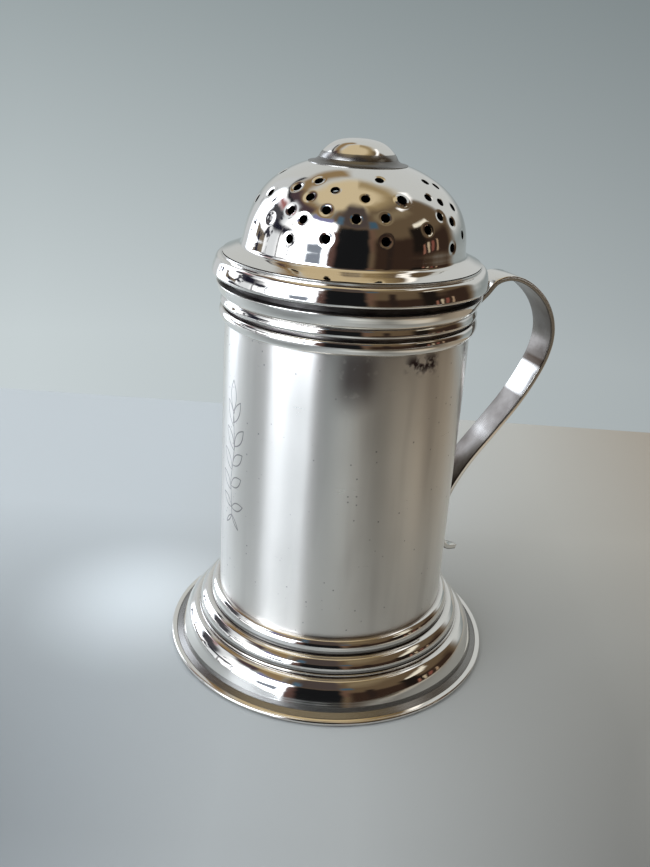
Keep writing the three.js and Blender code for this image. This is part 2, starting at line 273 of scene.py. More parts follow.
def apply_tree(piece, tree, values):
    """Runs a tree on a piece and leaves a plain mesh."""
    modifier = piece.modifiers.new(tree.name, "NODES")
    modifier.node_group = tree
    sockets = {i.name: i.identifier for i in tree.interface.items_tree if i.in_out == "INPUT"}
    for label, value in values.items():
        modifier[sockets[label]] = value
    bpy.context.view_layer.update()
    graph = bpy.context.evaluated_depsgraph_get()
    mesh = bpy.data.meshes.new_from_object(piece.evaluated_get(graph), depsgraph=graph)
    piece.modifiers.remove(modifier)
    piece.data = mesh
    mesh.name = piece.name
    return piece


WELD = 2e-6
BOOLEAN_SOLVER = "MANIFOLD"
DIMPLE_START_SHARE = 0.7
INNER_SIDE_SHARE = -0.3


def turning_tree():
    """Turns a section round the caster's axis. The section is a chain of points in the XZ plane,
    and a grid of as many rows is wrapped round it, so its ends on the axis close as poles."""
    sockets = {"Section": "Geometry", "Sides": "Int", "Axis": "Vector", "Unevenness": "Float"}
    sockets.update({"Wave": "Float", "Seed": "Float", "Material": "Material"})
    tree, add, given = new_tree("Turned silver", sockets)
    section, sides = given["Section"], given["Sides"]
    rows = add("GeometryNodeAttributeDomainSize", (section,), out="Point Count")
    columns = add(PLUS, (sides, 1.0))
    grid = add("GeometryNodeMeshGrid", {"Vertices X": rows, "Vertices Y": columns})
    index = add("GeometryNodeInputIndex")
    row = add(MATH, (add(OVER, (index, columns)),), operation="FLOOR")
    column = add(MINUS, (index, add(TIMES, (row, columns))))
    angle = add(TIMES, (add(OVER, (column, sides)), TURN))
    place = add(PLACE)
    at_row = {"Geometry": section, "Index": row}
    point = add(SAMPLE, {**at_row, "Value": place}, data_type="FLOAT_VECTOR")
    wrapped = {"Geometry": grid, "Position": add(ABOUT_Z, {"Vector": point, "Angle": angle})}
    wrapped = add(MOVE, wrapped)
    inside = {**at_row, "Value": add(STORED, {"Name": "inside"})}
    inside = add(SAMPLE, inside, data_type="FLOAT")
    flagged = add(STORE, {"Geometry": wrapped, "Name": "inside", "Value": inside})
    closed = add("GeometryNodeMergeByDistance", {"Geometry": flagged, "Distance": WELD})
    scale = add(OVER, (1.0, given["Wave"]))
    where = {"Vector": place, "W": given["Seed"], "Scale": scale, "Detail": 1.0}
    noise = add(NOISE, where, noise_dimensions="4D")
    lift = add(OVER, (add(MINUS, (noise, NOISE_MIDDLE)), NOISE_MIDDLE))
    lift = add(TIMES, (lift, given["Unevenness"]))
    offset = add(SCALED, {0: add("GeometryNodeInputNormal"), "Scale": lift})
    offset = add(VECTOR_MATH, (offset, given["Axis"]), operation="ADD")
    uneven = add(MOVE, {"Geometry": closed, "Offset": offset})
    end_tree(tree, uneven, given["Material"])
    return tree


def punching_tree():
    """Punches the dome at each mark: the wall is dimpled, and a round punch goes through it."""
    sockets = {"Dome": "Geometry", "Marks": "Object", "Punch radius": "Float"}
    sockets.update({"Dimple depth": "Float", "Dimple width": "Float", "Punch length": "Float"})
    sockets.update({"Punch sides": "Int", "Material": "Material"})
    tree, add, given = new_tree("Punched holes", sockets)
    marks = {"Object": given["Marks"]}
    marks = add("GeometryNodeObjectInfo", marks, out="Geometry", transform_space="RELATIVE")
    place = add(PLACE)
    ways = add(STORED, {"Name": "out"}, data_type="FLOAT_VECTOR")
    depths, widths, sizes, pierced = (
        add(STORED, {"Name": name})
        for name in ("depth_share", "width_share", "size_share", "pierced")
    )
    nearest = add("GeometryNodeSampleNearest", {"Geometry": marks, "Sample Position": place})
    at_mark = {"Geometry": marks, "Index": nearest}
    mark, way = (
        add(SAMPLE, {**at_mark, "Value": value}, data_type="FLOAT_VECTOR")
        for value in (place, ways)
    )
    depth, width = (
        add(SAMPLE, {**at_mark, "Value": value}, data_type="FLOAT") for value in (depths, widths)
    )
    start = add(TIMES, (given["Punch radius"], DIMPLE_START_SHARE))
    end = add(PLUS, (given["Punch radius"], add(TIMES, (given["Dimple width"], width))))
    fall = add(SMOOTH_RANGE, (add(DISTANCE, (place, mark), out=1), start, end, 1.0, 0.0))
    press = add(TIMES, (add(TIMES, (fall, depth)), given["Dimple depth"]))
    offset = add(SCALED, {0: way, "Scale": add(TIMES, (press, -1.0))})
    dimpled = add(MOVE, {"Geometry": given["Dome"], "Offset": offset})
    punch = {"Vertices": given["Punch sides"], "Radius": given["Punch radius"]}
    punches = {
        "Points": marks,
        "Selection": add(MATH, (pierced, 0.5), operation="GREATER_THAN"),
        "Instance": add("GeometryNodeMeshCylinder", {**punch, "Depth": given["Punch length"]}),
        "Rotation": add("FunctionNodeAlignRotationToVector", {"Vector": ways}, axis="Z"),
        "Scale": add(JOIN, (sizes, sizes, 1.0)),
    }
    punches = add(REALIZE, (add("GeometryNodeInstanceOnPoints", punches),))
    # The punches' faces are marked cut, so that the holes' walls are painted near black as the
    # shade inside them.
    punches = add(STORE, {"Geometry": punches, "Name": "cut", "Value": 1.0}, domain="FACE")
    meshes = {"Mesh 1": dimpled, "Mesh 2": punches}
    cut = add("GeometryNodeMeshBoolean", meshes, operation="DIFFERENCE", solver=BOOLEAN_SOLVER)
    end_tree(tree, cut, given["Material"])
    return tree


def strap_tree():
    """Lofts a strap of rounded section along a path in the XZ plane. The path's points carry a
    width share, by which the section is narrowed across."""
    sockets = {"Path": "Geometry", "Width": "Float", "Gauge": "Float", "Edge rounding": "Float"}
    sockets.update({"Edge steps": "Int", "Material": "Material"})
    tree, add, given = new_tree("Forged strap", sockets)
    line = add("GeometryNodeMeshToCurve", {"Mesh": given["Path"]})
    across = {"Curve": line, "Normal": Vector((0, 1, 0))}
    line = add("GeometryNodeSetCurveNormal", across, mode="FREE")
    box = {"Width": given["Width"], "Height": given["Gauge"]}
    box = add("GeometryNodeCurvePrimitiveQuadrilateral", box)
    edges = {"Curve": box, "Count": given["Edge steps"], "Radius": given["Edge rounding"]}
    section = add("GeometryNodeFilletCurve", edges, mode="POLY")
    place = add(PLACE)
    limit = add(TIMES, (given["Gauge"], INNER_SIDE_SHARE))
    inner = add(BELOW, (add(SPLIT, (place,), out="Y"), limit))
    section = add(STORE, {"Geometry": section, "Name": "inner_side", "Value": inner})
    loft = {"Curve": line, "Profile Curve": section, "Fill Caps": True}
    loft = add("GeometryNodeCurveToMesh", loft)
    narrow = add(JOIN, (1.0, add(STORED, {"Name": "width_share"}), 1.0))
    narrow = add(VECTOR_MATH, (place, narrow), operation="MULTIPLY")
    tapered = add(MOVE, {"Geometry": loft, "Position": narrow})
    end_tree(tree, tapered, given["Material"])
    return tree


def patch(tree, share, values, centre, half, soft):
    """A share that fades out past the edges of a patch, which is given by its centre, half its
    size and the softness of its edges."""
    add = partial(add_node, tree)
    for value, middle, reach, edge in zip(values, centre, half, soft):
        away = add(UNSIGNED, (add(MINUS, (value, middle)),))
        fall = add(SMOOTH_RANGE, (away, reach - edge, reach + edge, 1.0, 0.0))
        share = add(TIMES, (share, fall))
    return share


# The three finishes of the silver, by the record's slots.
POLISHED = {
    "name": "Sterling silver, buffed",
    "roughness": 0.05, "spread": 0.04, "anisotropy": 0.0, "hairlines": 0.12, "pits": 0.0,
}
RUBBED = {
    "name": "Sterling silver, softly rubbed",
    "roughness": 0.29, "spread": 0.06, "anisotropy": 0.93, "hairlines": 0.0, "pits": 0.55,
}
FILED = {
    "name": "Sterling silver, hand filed",
    "roughness": 0.13, "spread": 0.1, "anisotropy": 0.0, "hairlines": 0.5, "pits": 0.0,
}
FINISHES = {"polished_silver": POLISHED, "drum_silver": RUBBED, "strap_silver": FILED}

# Hairlines that the buff leaves. Real ones are a few hundredths of a millimetre apart, too fine to
# show, so they are drawn as coarse as they need to show.
HAIRLINES_PER_MM = 6.0
HAIRLINE_ENDS_PER_MM = 0.12
HAIRLINE_DEPTH_MM = 0.004
HAIRLINES = {"Scale": 1.0, "Detail": 3.0}

# A haze some millimetres across, where the buff bore less, and the tarnish of the recesses.
CLOUD_MM = 6.0
CLOUD = {"Scale": 1 / (CLOUD_MM * MM), "Detail": 5.0}
CLOUD_MIDDLE = 0.45
RECESS_MM = 2.0
RECESS_RAYS = 8
RECESS_OPEN = (0.25, 0.8)
TARNISH_CLOUD = (0.35, 0.6)
TARNISH_SHARES = (0.55, 1.0)
FILM_CLOUD = (0.3, 0.6)
FILM_SHARES = (0.86, 1.0)
TARNISH_BLUR = 0.25
FILM_BLUR = 0.2
INSIDE_BLUR = 0.3

# A quarter turn from round the drum, so that it smears what it mirrors up and down.
UPRIGHT = 0.25

# Pits in the drum. Most real ones are under 0.1 mm across, and are drawn coarser so that they
# show. Their reach is a share of their spacing.
PIT_SPACING_MM = 1.3
PIT_CELLS = {"Scale": 1 / (PIT_SPACING_MM * MM)}
PIT_REACH = (0.1, 0.2)
PIT_RAGGED = 0.1
PIT_SHARE = 0.35

# Faint upright streaks that the buff left on the drum, by their noise per mm round and up it.
STREAK_SHARES = (0.28, 0.03)
STREAK_NOISE = (0.5, 0.7)
STREAK_TARNISH = 0.09
STREAKS = {"Scale": 1.0, "Detail": 2.0}

# Dark patches painted on the drum just under the collar, where it mirrors dark things in front of
# it: painted reflections, as (azimuth in degrees, level in mm), half their size, the softness of
# their edges, their strength and the noise between which they break up.
SPOT_MM = 1.5
SPOTS = {"Scale": 1 / (SPOT_MM * MM), "Detail": 4.0}
DRUM_PAINTED_REFLECTIONS = [
    ((-107, 58.3), (8, 4.6), (5, 3.6), 0.74, (0.0, 0.4)),
    ((-77.5, 59.3), (8, 1.4), (2.5, 1.1), 1.0, (0.4, 0.53)),
]

# An engraved sprig at the drum's far side from the handle, as strokes between two places in
# millimetres (round the drum, up the drum), each with the half width of the leaf round it. A real
# cut is about 0.1 mm wide, too fine to show, so the graver's reach is wider.
SPRIG_STROKES = [
    ((3.4, 28.0), (2.7, 34.5), 0), ((2.7, 34.5), (3.9, 41.0), 0), ((3.9, 41.0), (3.3, 47.0), 0),
    ((3.3, 47.3), (3.2, 52.6), 0.95), ((3.3, 45.2), (5.6, 49.4), 0.8),
    ((3.5, 44.6), (1.4, 48.8), 0.8), ((3.9, 41.2), (6.6, 44.8), 0.85),
    ((3.8, 40.4), (1.1, 44.0), 0.85), ((3.3, 37.6), (6.4, 40.4), 0.85),
    ((3.1, 36.6), (0.1, 39.8), 0.85), ((2.8, 33.6), (6.2, 35.9), 0.85),
    ((2.8, 32.8), (-0.4, 35.4), 0.85), ((3.2, 29.6), (6.8, 31.0), 0.7),
    ((3.2, 29.6), (-0.2, 31.2), 0.7), ((3.3, 28.2), (5.6, 26.2), 0.3),
    ((3.3, 28.2), (1.2, 26.0), 0.3),
]
GRAVER_REACH = (0.05, 0.15)
GRAVER_TARNISH = 0.75
FAR_MM = 9.0


def silver_material(colours, finish):
    """Sterling silver gives the eye a warm white mirror. A buff leaves hairlines that run round
    the axis, a file leaves them along the strap, and a drum that is only rubbed smears what it
    mirrors up and down. Tarnish stays in the recesses, and on the drum in fine pits; dark patches
    under the drum's collar are painted reflections, and the strap's inner side has a brown film,
    partly tarnish and partly a painted reflection. The inside was never polished, and it and the
    punched holes' walls are painted near black as shade; recesses, ledges and the finial's cove
    are painted part way dark as shade."""
    material = bpy.data.materials.new(finish["name"])
    material.use_nodes = True
    tree = material.node_tree
    tree.nodes.clear()
    add = partial(add_node, tree)
    where = add("ShaderNodeTexCoord", out="Object")
    x, y, z = add(SPLIT, (add(VECTOR_MATH, (where, AXIS), operation="SUBTRACT"),), out=None)
    if finish is FILED:
        length = add(FLAG, out="Fac", attribute_name="along")
        level = add(OVER, (y, MM))
    else:
        length = add(TIMES, (add(BEARING, (y, x)), DRUM_R))
        level = add(OVER, (z, MM))
    lines = (add(TIMES, (length, HAIRLINE_ENDS_PER_MM)), add(TIMES, (level, HAIRLINES_PER_MM)))
    hair = add(NOISE, {"Vector": add(JOIN, lines), **HAIRLINES})
    cloud = add(NOISE, {"Vector": where, **CLOUD})
    rough = add(TIMES, (add(MINUS, (hair, NOISE_MIDDLE)), finish["spread"]))
    haze = add(TIMES, (add(MINUS, (cloud, CLOUD_MIDDLE)), finish["spread"]))
    rough = add(PLUS, (add(PLUS, (rough, haze)), finish["roughness"]))
    recess = {"Distance": RECESS_MM * MM}
    recess = add("ShaderNodeAmbientOcclusion", recess, out="AO", samples=RECESS_RAYS)
    tarnish_and_painted_patches = add(RANGE, (recess, *RECESS_OPEN, 1.0, 0.0))
    tarnish_and_painted_patches = add(TIMES, (tarnish_and_painted_patches, add(RANGE, (cloud, *TARNISH_CLOUD, *TARNISH_SHARES))))
    if finish["pits"]:
        tarnish_and_painted_patches = drum_tarnish_and_painted_patches(tree, tarnish_and_painted_patches, (x, y), (length, level), where, hair, finish["pits"])
    # The inside flag paints unpolished insides near black as shade, dulls the flange's top, and
    # paints recesses, ledges and the finial's cove part way dark as shade; the cut flag paints the
    # punched holes' walls dark as shade.
    flags = [add(FLAG, out="Fac", attribute_name=name) for name in ("inside", "cut")]
    layers = [
        (tarnish_and_painted_patches, colours.tarnish, TARNISH_BLUR),
        (add(GREATER, flags), colours.inside, INSIDE_BLUR),
    ]
    # The strap's inner side gets the brown film: partly tarnish, partly a painted reflection.
    if finish is FILED:
        flags = [add(FLAG, out="Fac", attribute_name=name) for name in ("tarnish", "inner_side")]
        film = (add(TIMES, flags), add(RANGE, (cloud, *FILM_CLOUD, *FILM_SHARES)))
        layers.insert(1, (add(TIMES, film), colours.film, FILM_BLUR))
    shade = linear(colours.silver)
    for share, colour, blur in layers:
        shade = add(MIX, {0: share, 6: shade, 7: linear(colour)}, out=2)
        rough = add(PLUS, (rough, add(TIMES, (share, blur))))
    bump = {"Height": hair, "Strength": finish["hairlines"], "Distance": HAIRLINE_DEPTH_MM * MM}
    surface = {
        "Base Color": shade,
        "Metallic": 1.0,
        "Roughness": rough,
        "Normal": add("ShaderNodeBump", bump),
        "Anisotropic": finish["anisotropy"],
    }
    if finish["anisotropy"]:
        surface["Tangent"] = add("ShaderNodeTangent", direction_type="RADIAL", axis="Z")
        surface["Anisotropic Rotation"] = UPRIGHT
    shader = add("ShaderNodeBsdfPrincipled", surface)
    add("ShaderNodeOutputMaterial", {"Surface": shader}, out=None)
    return material


def drum_tarnish_and_painted_patches(tree, tarnish_and_painted_patches, flat, along, where, hair, depth):
    """The drum's tarnish: its pits, the buff's streaks and the graver's cuts; and the dark patches
    under the collar, which are painted reflections.
    """
    add = partial(add_node, tree)
    cells = add("ShaderNodeTexVoronoi", {"Vector": where, **PIT_CELLS}, out=None)
    outline = add(PLUS, (cells["Distance"], add(TIMES, (hair, PIT_RAGGED))))
    chosen = add(BELOW, (add(SPLIT_COLOUR, (cells["Color"],)), PIT_SHARE))
    pits = add(TIMES, (add(RANGE, (outline, *PIT_REACH, depth, 0.0)), chosen))
    strip = add(JOIN, [add(TIMES, pair) for pair in zip(along, STREAK_SHARES)])
    streaks = add(NOISE, {"Vector": strip, **STREAKS})
    streaks = add(RANGE, (streaks, *STREAK_NOISE, 0.0, STREAK_TARNISH))
    found = [pits, streaks, engraving(tree, flat, along[1])]
    spots = add(NOISE, {"Vector": where, **SPOTS})
    bearing = add(OVER, (along[0], DRUM_R * math.radians(1)))
    # Painted reflections: dark patches under the collar, broken up by noise.
    for centre, half, soft, strength, breaks in DRUM_PAINTED_REFLECTIONS:
        reflection_patch = patch(tree, strength, (bearing, along[1]), centre, half, soft)
        found.append(add(TIMES, (reflection_patch, add(RANGE, (spots, *breaks, 0.0, 1.0)))))
    for item in found:
        tarnish_and_painted_patches = add(GREATER, (tarnish_and_painted_patches, item))
    return tarnish_and_painted_patches


def engraving(tree, flat, level):
    """How far a place on the drum lies in a cut of the graver: near a stroke's line, or near an
    outline at some distance round it, which gives a leaf."""
    add = partial(add_node, tree)
    x, y = (add(TIMES, (value, -1.0)) for value in flat)
    place = add(JOIN, (add(TIMES, (add(BEARING, (y, x)), DRUM_R)), level))
    nearest = FAR_MM
    for start, end, swell in SPRIG_STROKES:
        start, run = Vector((*start, 0)), Vector((*end, 0)) - Vector((*start, 0))
        reach = add(VECTOR_MATH, (place, start), operation="SUBTRACT")
        share = add(DOT, (reach, run / run.length_squared), out=1)
        share = add(LESSER, (add(GREATER, (share, 0.0)), 1.0))
        gap = add(DISTANCE, (reach, add(SCALED, {0: run, "Scale": share})), out=1)
        if swell:
            bulge = add(TIMES, (share, add(MINUS, (1.0, share))))
            bulge = add(TIMES, (bulge, 4 * swell))
            gap = add(UNSIGNED, (add(MINUS, (gap, bulge)),))
        nearest = add(LESSER, (gap, nearest))
    return add(RANGE, (nearest, *GRAVER_REACH, GRAVER_TARNISH, 0.0))


# What the operators share: the materials by their slots, and the trees by what they do.
silver = {}
trees = {}


def prepare():
    """Makes the trees and materials that the operators share, once."""
    if not trees:
        trees["turning"] = turning_tree()
        trees["punching"] = punching_tree()
        trees["strap"] = strap_tree()
        for slot, finish in FINISHES.items():
            silver[slot] = silver_material(bpy.context.scene.caster_colours, finish)


# Sections are lines of (radius, height) in millimetres. A corner is a turn of at least so many
# degrees, and is cut back by at most a share of the lines that meet there.
SECTION_STEPS = 5
CORNER_DEG = 28
CORNER_STEPS = 3
CORNER_REACH = 0.45
EDGE_SUPPORT = 0.04
LONGEST_STEP = 1.2
SHORTEST_STEP = 1e-6
FLAG_REACH = 0.1
SHARP_ANGLE = math.radians(50)


def arc(centre, radii, start, end, steps):
    """Points of an elliptical arc in the section's plane, from one angle in degrees to another."""
    found = []
    for i in range(steps + 1):
        t = math.radians(start + (end - start) * i / steps)
        found.append((centre[0] + radii[0] * math.cos(t), centre[1] + radii[1] * math.sin(t)))
    return found


def through(points, steps):
    """A centripetal Catmull-Rom curve through points, with as many steps between each two."""
    points = [Vector(p) for p in points]
    run = [points[0] * 2 - points[1], *points, points[-1] * 2 - points[-2]]
    found = []
    for i in range(1, len(run) - 2):
        a, b, c, d = run[i - 1 : i + 3]
        t0 = 0
        t1 = t0 + max((b - a).length, SHORTEST_STEP) ** 0.5
        t2 = t1 + max((c - b).length, SHORTEST_STEP) ** 0.5
        t3 = t2 + max((d - c).length, SHORTEST_STEP) ** 0.5
        for k in range(steps):
            t = t1 + (t2 - t1) * k / steps
            ab = a * ((t1 - t) / (t1 - t0)) + b * ((t - t0) / (t1 - t0))
            bc = b * ((t2 - t) / (t2 - t1)) + c * ((t - t1) / (t2 - t1))
            cd = c * ((t3 - t) / (t3 - t2)) + d * ((t - t2) / (t3 - t2))
            abc = ab * ((t2 - t) / (t2 - t0)) + bc * ((t - t0) / (t2 - t0))
            bcd = bc * ((t3 - t) / (t3 - t1)) + cd * ((t - t1) / (t3 - t1))
            found.append(abc * ((t2 - t) / (t2 - t1)) + bcd * ((t - t1) / (t2 - t1)))
    found.append(points[-1])
    return found


def softened(points, rounding):
    """A closed section with its corners rounded. Its straight lines get a point close to each end,
    so that a flat face shades flat, and points between, so that it can be uneven."""
    loop = []
    for i, here in enumerate(points):
        back, ahead = Vector(points[i - 1]), Vector(points[(i + 1) % len(points)])
        here = Vector(here)
        into, away = here - back, ahead - here
        turn = abs(into.angle_signed(away)) if into.length and away.length else 0
        if math.degrees(turn) < CORNER_DEG:
            loop.append(here)
            continue
        reach = min(into.length * CORNER_REACH, away.length * CORNER_REACH)
        cut = min(rounding * math.tan(turn / 2), reach)
        start, end = here - into.normalized() * cut, here + away.normalized() * cut
        for k in range(CORNER_STEPS + 1):
            t = k / CORNER_STEPS
            loop.append(start * (1 - t) ** 2 + here * (2 * t * (1 - t)) + end * t**2)
    dense = []
    for here, ahead in zip(loop, loop[1:] + loop[:1]):
        dense.append(here)
        run = (ahead - here).length
        if run > 4 * EDGE_SUPPORT:
            middle = run - 2 * EDGE_SUPPORT
            inner = max(1, math.ceil(middle / LONGEST_STEP))
            for k in range(inner + 1):
                dense.append(here.lerp(ahead, (EDGE_SUPPORT + middle * k / inner) / run))
    return [tuple(p) for p in dense]


def beside(r, z, offsets):
    """Places in a section, from their offsets in millimetres outwards and upwards."""
    return [(r + out, z + up) for out, up in offsets]


def curved(points):
    """A smooth line in a section, through its points."""
    return [tuple(p) for p in through(points, SECTION_STEPS)]


def chain(name, points, attributes):
    """An object whose mesh is a chain of points, each with its attributes."""
    mesh = bpy.data.meshes.new(name)
    mesh.from_pydata(points, [(i, i + 1) for i in range(len(points) - 1)], [])
    for label, values in attributes.items():
        single = isinstance(values[0], float)
        layer = mesh.attributes.new(label, "FLOAT" if single else "FLOAT_VECTOR", "POINT")
        for item, value in zip(layer.data, values):
            setattr(item, "value" if single else "vector", value)
    made = bpy.data.objects.new(name, mesh)
    bpy.context.scene.collection.objects.link(made)
    return made


def outward(piece):
    """Turns a closed mesh's faces outwards, and marks its sharp edges."""
    volume = 0
    mesh = piece.data
    mesh.calc_loop_triangles()
    for t in mesh.loop_triangles:
        a, b, c = (mesh.vertices[i].co for i in t.vertices)
        volume += a.dot(b.cross(c))
    if volume < 0:
        mesh.flip_normals()
    mesh.set_sharp_from_angle(angle=SHARP_ANGLE)


def join_frame(piece, node):
    """The piece stands for a frame's node and moves with its body."""
    body = frame["nodes"][node]["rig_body"]
    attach(piece, body)
    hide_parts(node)


def gap_to(place, ends):
    """How far a place is from the straight line between two others."""
    start, end = (Vector(e) for e in ends)
    run = end - start
    share = (Vector(place) - start).dot(run) / run.length_squared
    return (Vector(place) - start - run * min(max(share, 0), 1)).length


def dull_and_shade(place, dull_and_shaded):
    """How dark a place in a section is painted, by the darkened lines that run through it:
    unpolished silver, and painted shade.
    """
    found = 0.0
    for line, dull in dull_and_shaded:
        if any(gap_to(place, ends) < FLAG_REACH for ends in zip(line, line[1:])):
            found = max(found, dull)
    return found


def turned(name, node, slot, points, seed, uneven=1.0, dull_and_shaded=(), sides=None):
    """A turned piece from its section, which is open at the axis where it starts there. It stands
    for a node, where that is given. Its darkened lines come with how dark each is: unpolished
    silver, and painted shade in recesses."""
    sizes = bpy.context.scene.caster_sizes
    flags = [dull_and_shade(place, dull_and_shaded) for place in points]
    if points[0][0] > 0:
        points, flags = points + points[:1], flags + flags[:1]
    piece = chain(name, [(r * MM, 0, z * MM) for r, z in points], {"inside": flags})
    values = {
        "Sides": sides or sizes.sides,
        "Axis": AXIS,
        "Unevenness": sizes.unevenness * uneven,
        "Wave": sizes.wave,
        "Seed": seed,
        "Material": silver[slot],
    }
    outward(apply_tree(piece, trees["turning"], values))
    if node:
        join_frame(piece, node)
    return piece


# Drum.
DRUM_WALL = 0.7
MOUTH_DRAW_IN = 0.22
DRAW_IN_HEIGHT = 11.0
DRAW_IN_POWER = 3.5
DRAW_IN_STEPS = 18
MOUTH_R = DRUM_R - MOUTH_DRAW_IN
RECESS_HEIGHT = 1.3
# Recesses under the rim and under each collar ring are painted half way to the inside's dark
# colour, as painted shade.
RECESS_PAINTED_SHADE = 0.5


class CASTER_OT_drum(bpy.types.Operator):
    """Turn the plain drum and its floor"""

    bl_idname = "caster.drum"
    bl_label = "Drum"

    def execute(self, context):
        prepare()
        rounding = context.scene.caster_sizes.edge_rounding / MM
        start = REED_LOW - DRAW_IN_HEIGHT
        wall = [(DRUM_R, DRUM_END), (DRUM_R, start)]
        for i in range(1, DRAW_IN_STEPS + 1):
            t = i / DRAW_IN_STEPS
            wall.append((DRUM_R - MOUTH_DRAW_IN * t**DRAW_IN_POWER, start + DRAW_IN_HEIGHT * t))
        bore = MOUTH_R - DRUM_WALL
        wall += [(MOUTH_R, MOUTH), (bore, MOUTH), (bore, REED_LOW)]
        wall += [(DRUM_R - DRUM_WALL, start), (DRUM_R - DRUM_WALL, DRUM_END)]
        # The drum's wall in the recess under the cover's rim is painted half dark as shade.
        recess = [(MOUTH_R, MOUTH - RECESS_HEIGHT), (MOUTH_R, MOUTH)]
        turned(
            "plain_drum",
            "body_tube",
            "drum_silver",
            softened(wall, rounding),
            seed=1.0,
            uneven=0.8,
            dull_and_shaded=[(recess, RECESS_PAINTED_SHADE), (wall[-5:], 1.0)],
        )
        # The drum's floor, like its bore, is unpolished and painted near black as the shade inside
        # the drum.
        disc = [(0, FLOOR_LOW), (FLOOR_R, FLOOR_LOW), (FLOOR_R, FLOOR_HIGH), (0, FLOOR_HIGH)]
        dull_and_shaded = [(disc, 1.0)]
        turned("drum_floor", "base_disc", "drum_silver", disc, seed=2.0, dull_and_shaded=dull_and_shaded)
        return {"FINISHED"}


# Soldered pieces are sunk into one another by a hair, so that no gap shows between them.
SOLDER_SINK = 0.04
CREVICE_ROUNDING = 0.05

# Foot.
WIRE_WIDTH = 0.7
WIRE_ARC = (-80, 90)
WIRE_STEPS = 18
FLANGE_WIDTH = 2.1
FLANGE_FACE_WIDTH = 1.1
FLANGE_EDGE = 0.8
FLANGE_GAUGE = 0.8
FLANGE_DULL = 0.68
# The foot's outside, from the flange up to the drum, as steps outwards from the drum and upwards
# from the flange: a large ovolo with a flat face, a thin fillet and two smaller ovolos.
FOOT_LINES = [
    [
        (7.08, -0.04), (6.8, 0.7), (6.6, 1.25), (6.38, 1.85), (6.13, 2.47), (5.83, 3.04),
        (5.56, 3.42), (5.23, 3.77), (4.88, 4.1), (4.63, 4.3), (4.23, 4.43), (3.72, 4.49),
    ],
    [(3.6, 4.53), (3.74, 4.58), (3.82, 4.64), (3.82, 4.88), (3.76, 4.96), (3.42, 5.0)],
    [
        (3.44, 5.08), (3.62, 5.16), (3.59, 5.5), (3.52, 5.88), (3.4, 6.18), (3.26, 6.43),
        (3.03, 6.69), (2.78, 6.94), (2.53, 7.16), (2.08, 7.32), (1.68, 7.38), (1.4, 7.4),
    ],
    [
        (1.42, 7.5), (1.58, 7.58), (1.55, 8.05), (1.46, 8.55), (1.33, 8.94), (1.2, 9.16),
        (0.98, 9.4), (0.8, 9.58), (0.48, 9.72), (-0.04, 9.77),
    ],
]
FOOT_HOLLOW_LINE = [
    (-0.04, 8.2), (0.73, 6.7), (2.78, 4.3), (4.18, 3.6), (5.03, 2.75), (5.63, 1.5), (6.08, -0.04),
]
# The lower edge of each ovolo, by the crevice below it, is painted darker: partly tarnish, partly
# painted shade in the crevice.
LEDGE_LINES = [
    [(7.08, -0.04), (6.8, 0.7)],
    [(3.44, 5.08), (3.62, 5.16), (3.6, 5.5)],
    [(1.42, 7.5), (1.58, 7.58), (1.56, 8.0)],
]
LEDGE_TARNISH_AND_SHADE = 0.72


class CASTER_OT_foot(bpy.types.Operator):
    """Turn the edge wire, the flange and the stepped moulding of the foot"""

    bl_idname = "caster.foot"
    bl_label = "Foot"

    def execute(self, context):
        prepare()
        rounding = context.scene.caster_sizes.edge_rounding / MM
        middle = WIRE_R - WIRE_WIDTH / 2
        half = WIRE_HIGH / 2
        inner = FLANGE_R - SOLDER_SINK
        wire = [(inner, 0)] + arc((middle, half), (WIRE_WIDTH / 2, half), *WIRE_ARC, WIRE_STEPS)
        wire = softened(wire + [(inner, WIRE_HIGH)], rounding)
        turned("edge_wire", "foot_edge_wire", "polished_silver", wire, seed=3.0)
        bore, face = FLANGE_R - FLANGE_WIDTH, FLANGE_R - FLANGE_FACE_WIDTH
        sheet = [(bore, FLANGE_HIGH - FLANGE_GAUGE), (face, 0), (FLANGE_R, 0)]
        sheet += [(FLANGE_R, FLANGE_EDGE), (face, FLANGE_HIGH), (bore, FLANGE_HIGH)]
        turned(
            "foot_rim",
            "foot_flange",
            "polished_silver",
            softened(sheet, rounding),
            seed=4.0,
            uneven=2.4,
            dull_and_shaded=[(sheet[3:], FLANGE_DULL)],
        )
        outside = []
        for line in FOOT_LINES:
            outside += curved(beside(DRUM_R, FLANGE_HIGH, line))
        # The hollow under the foot is unpolished and painted near black as shade; the ovolos'
        # lower edges are painted darker as tarnish and shade.
        hollow = beside(DRUM_R, FLANGE_HIGH, FOOT_HOLLOW_LINE)
        ledges = [(beside(DRUM_R, FLANGE_HIGH, line), LEDGE_TARNISH_AND_SHADE) for line in LEDGE_LINES]
        turned(
            "stepped_foot",
            "foot_moulding",
            "polished_silver",
            softened(outside + hollow, CREVICE_ROUNDING),
            seed=5.0,
            uneven=1.3,
            dull_and_shaded=[(hollow, 1.0), *ledges],
        )
        return {"FINISHED"}


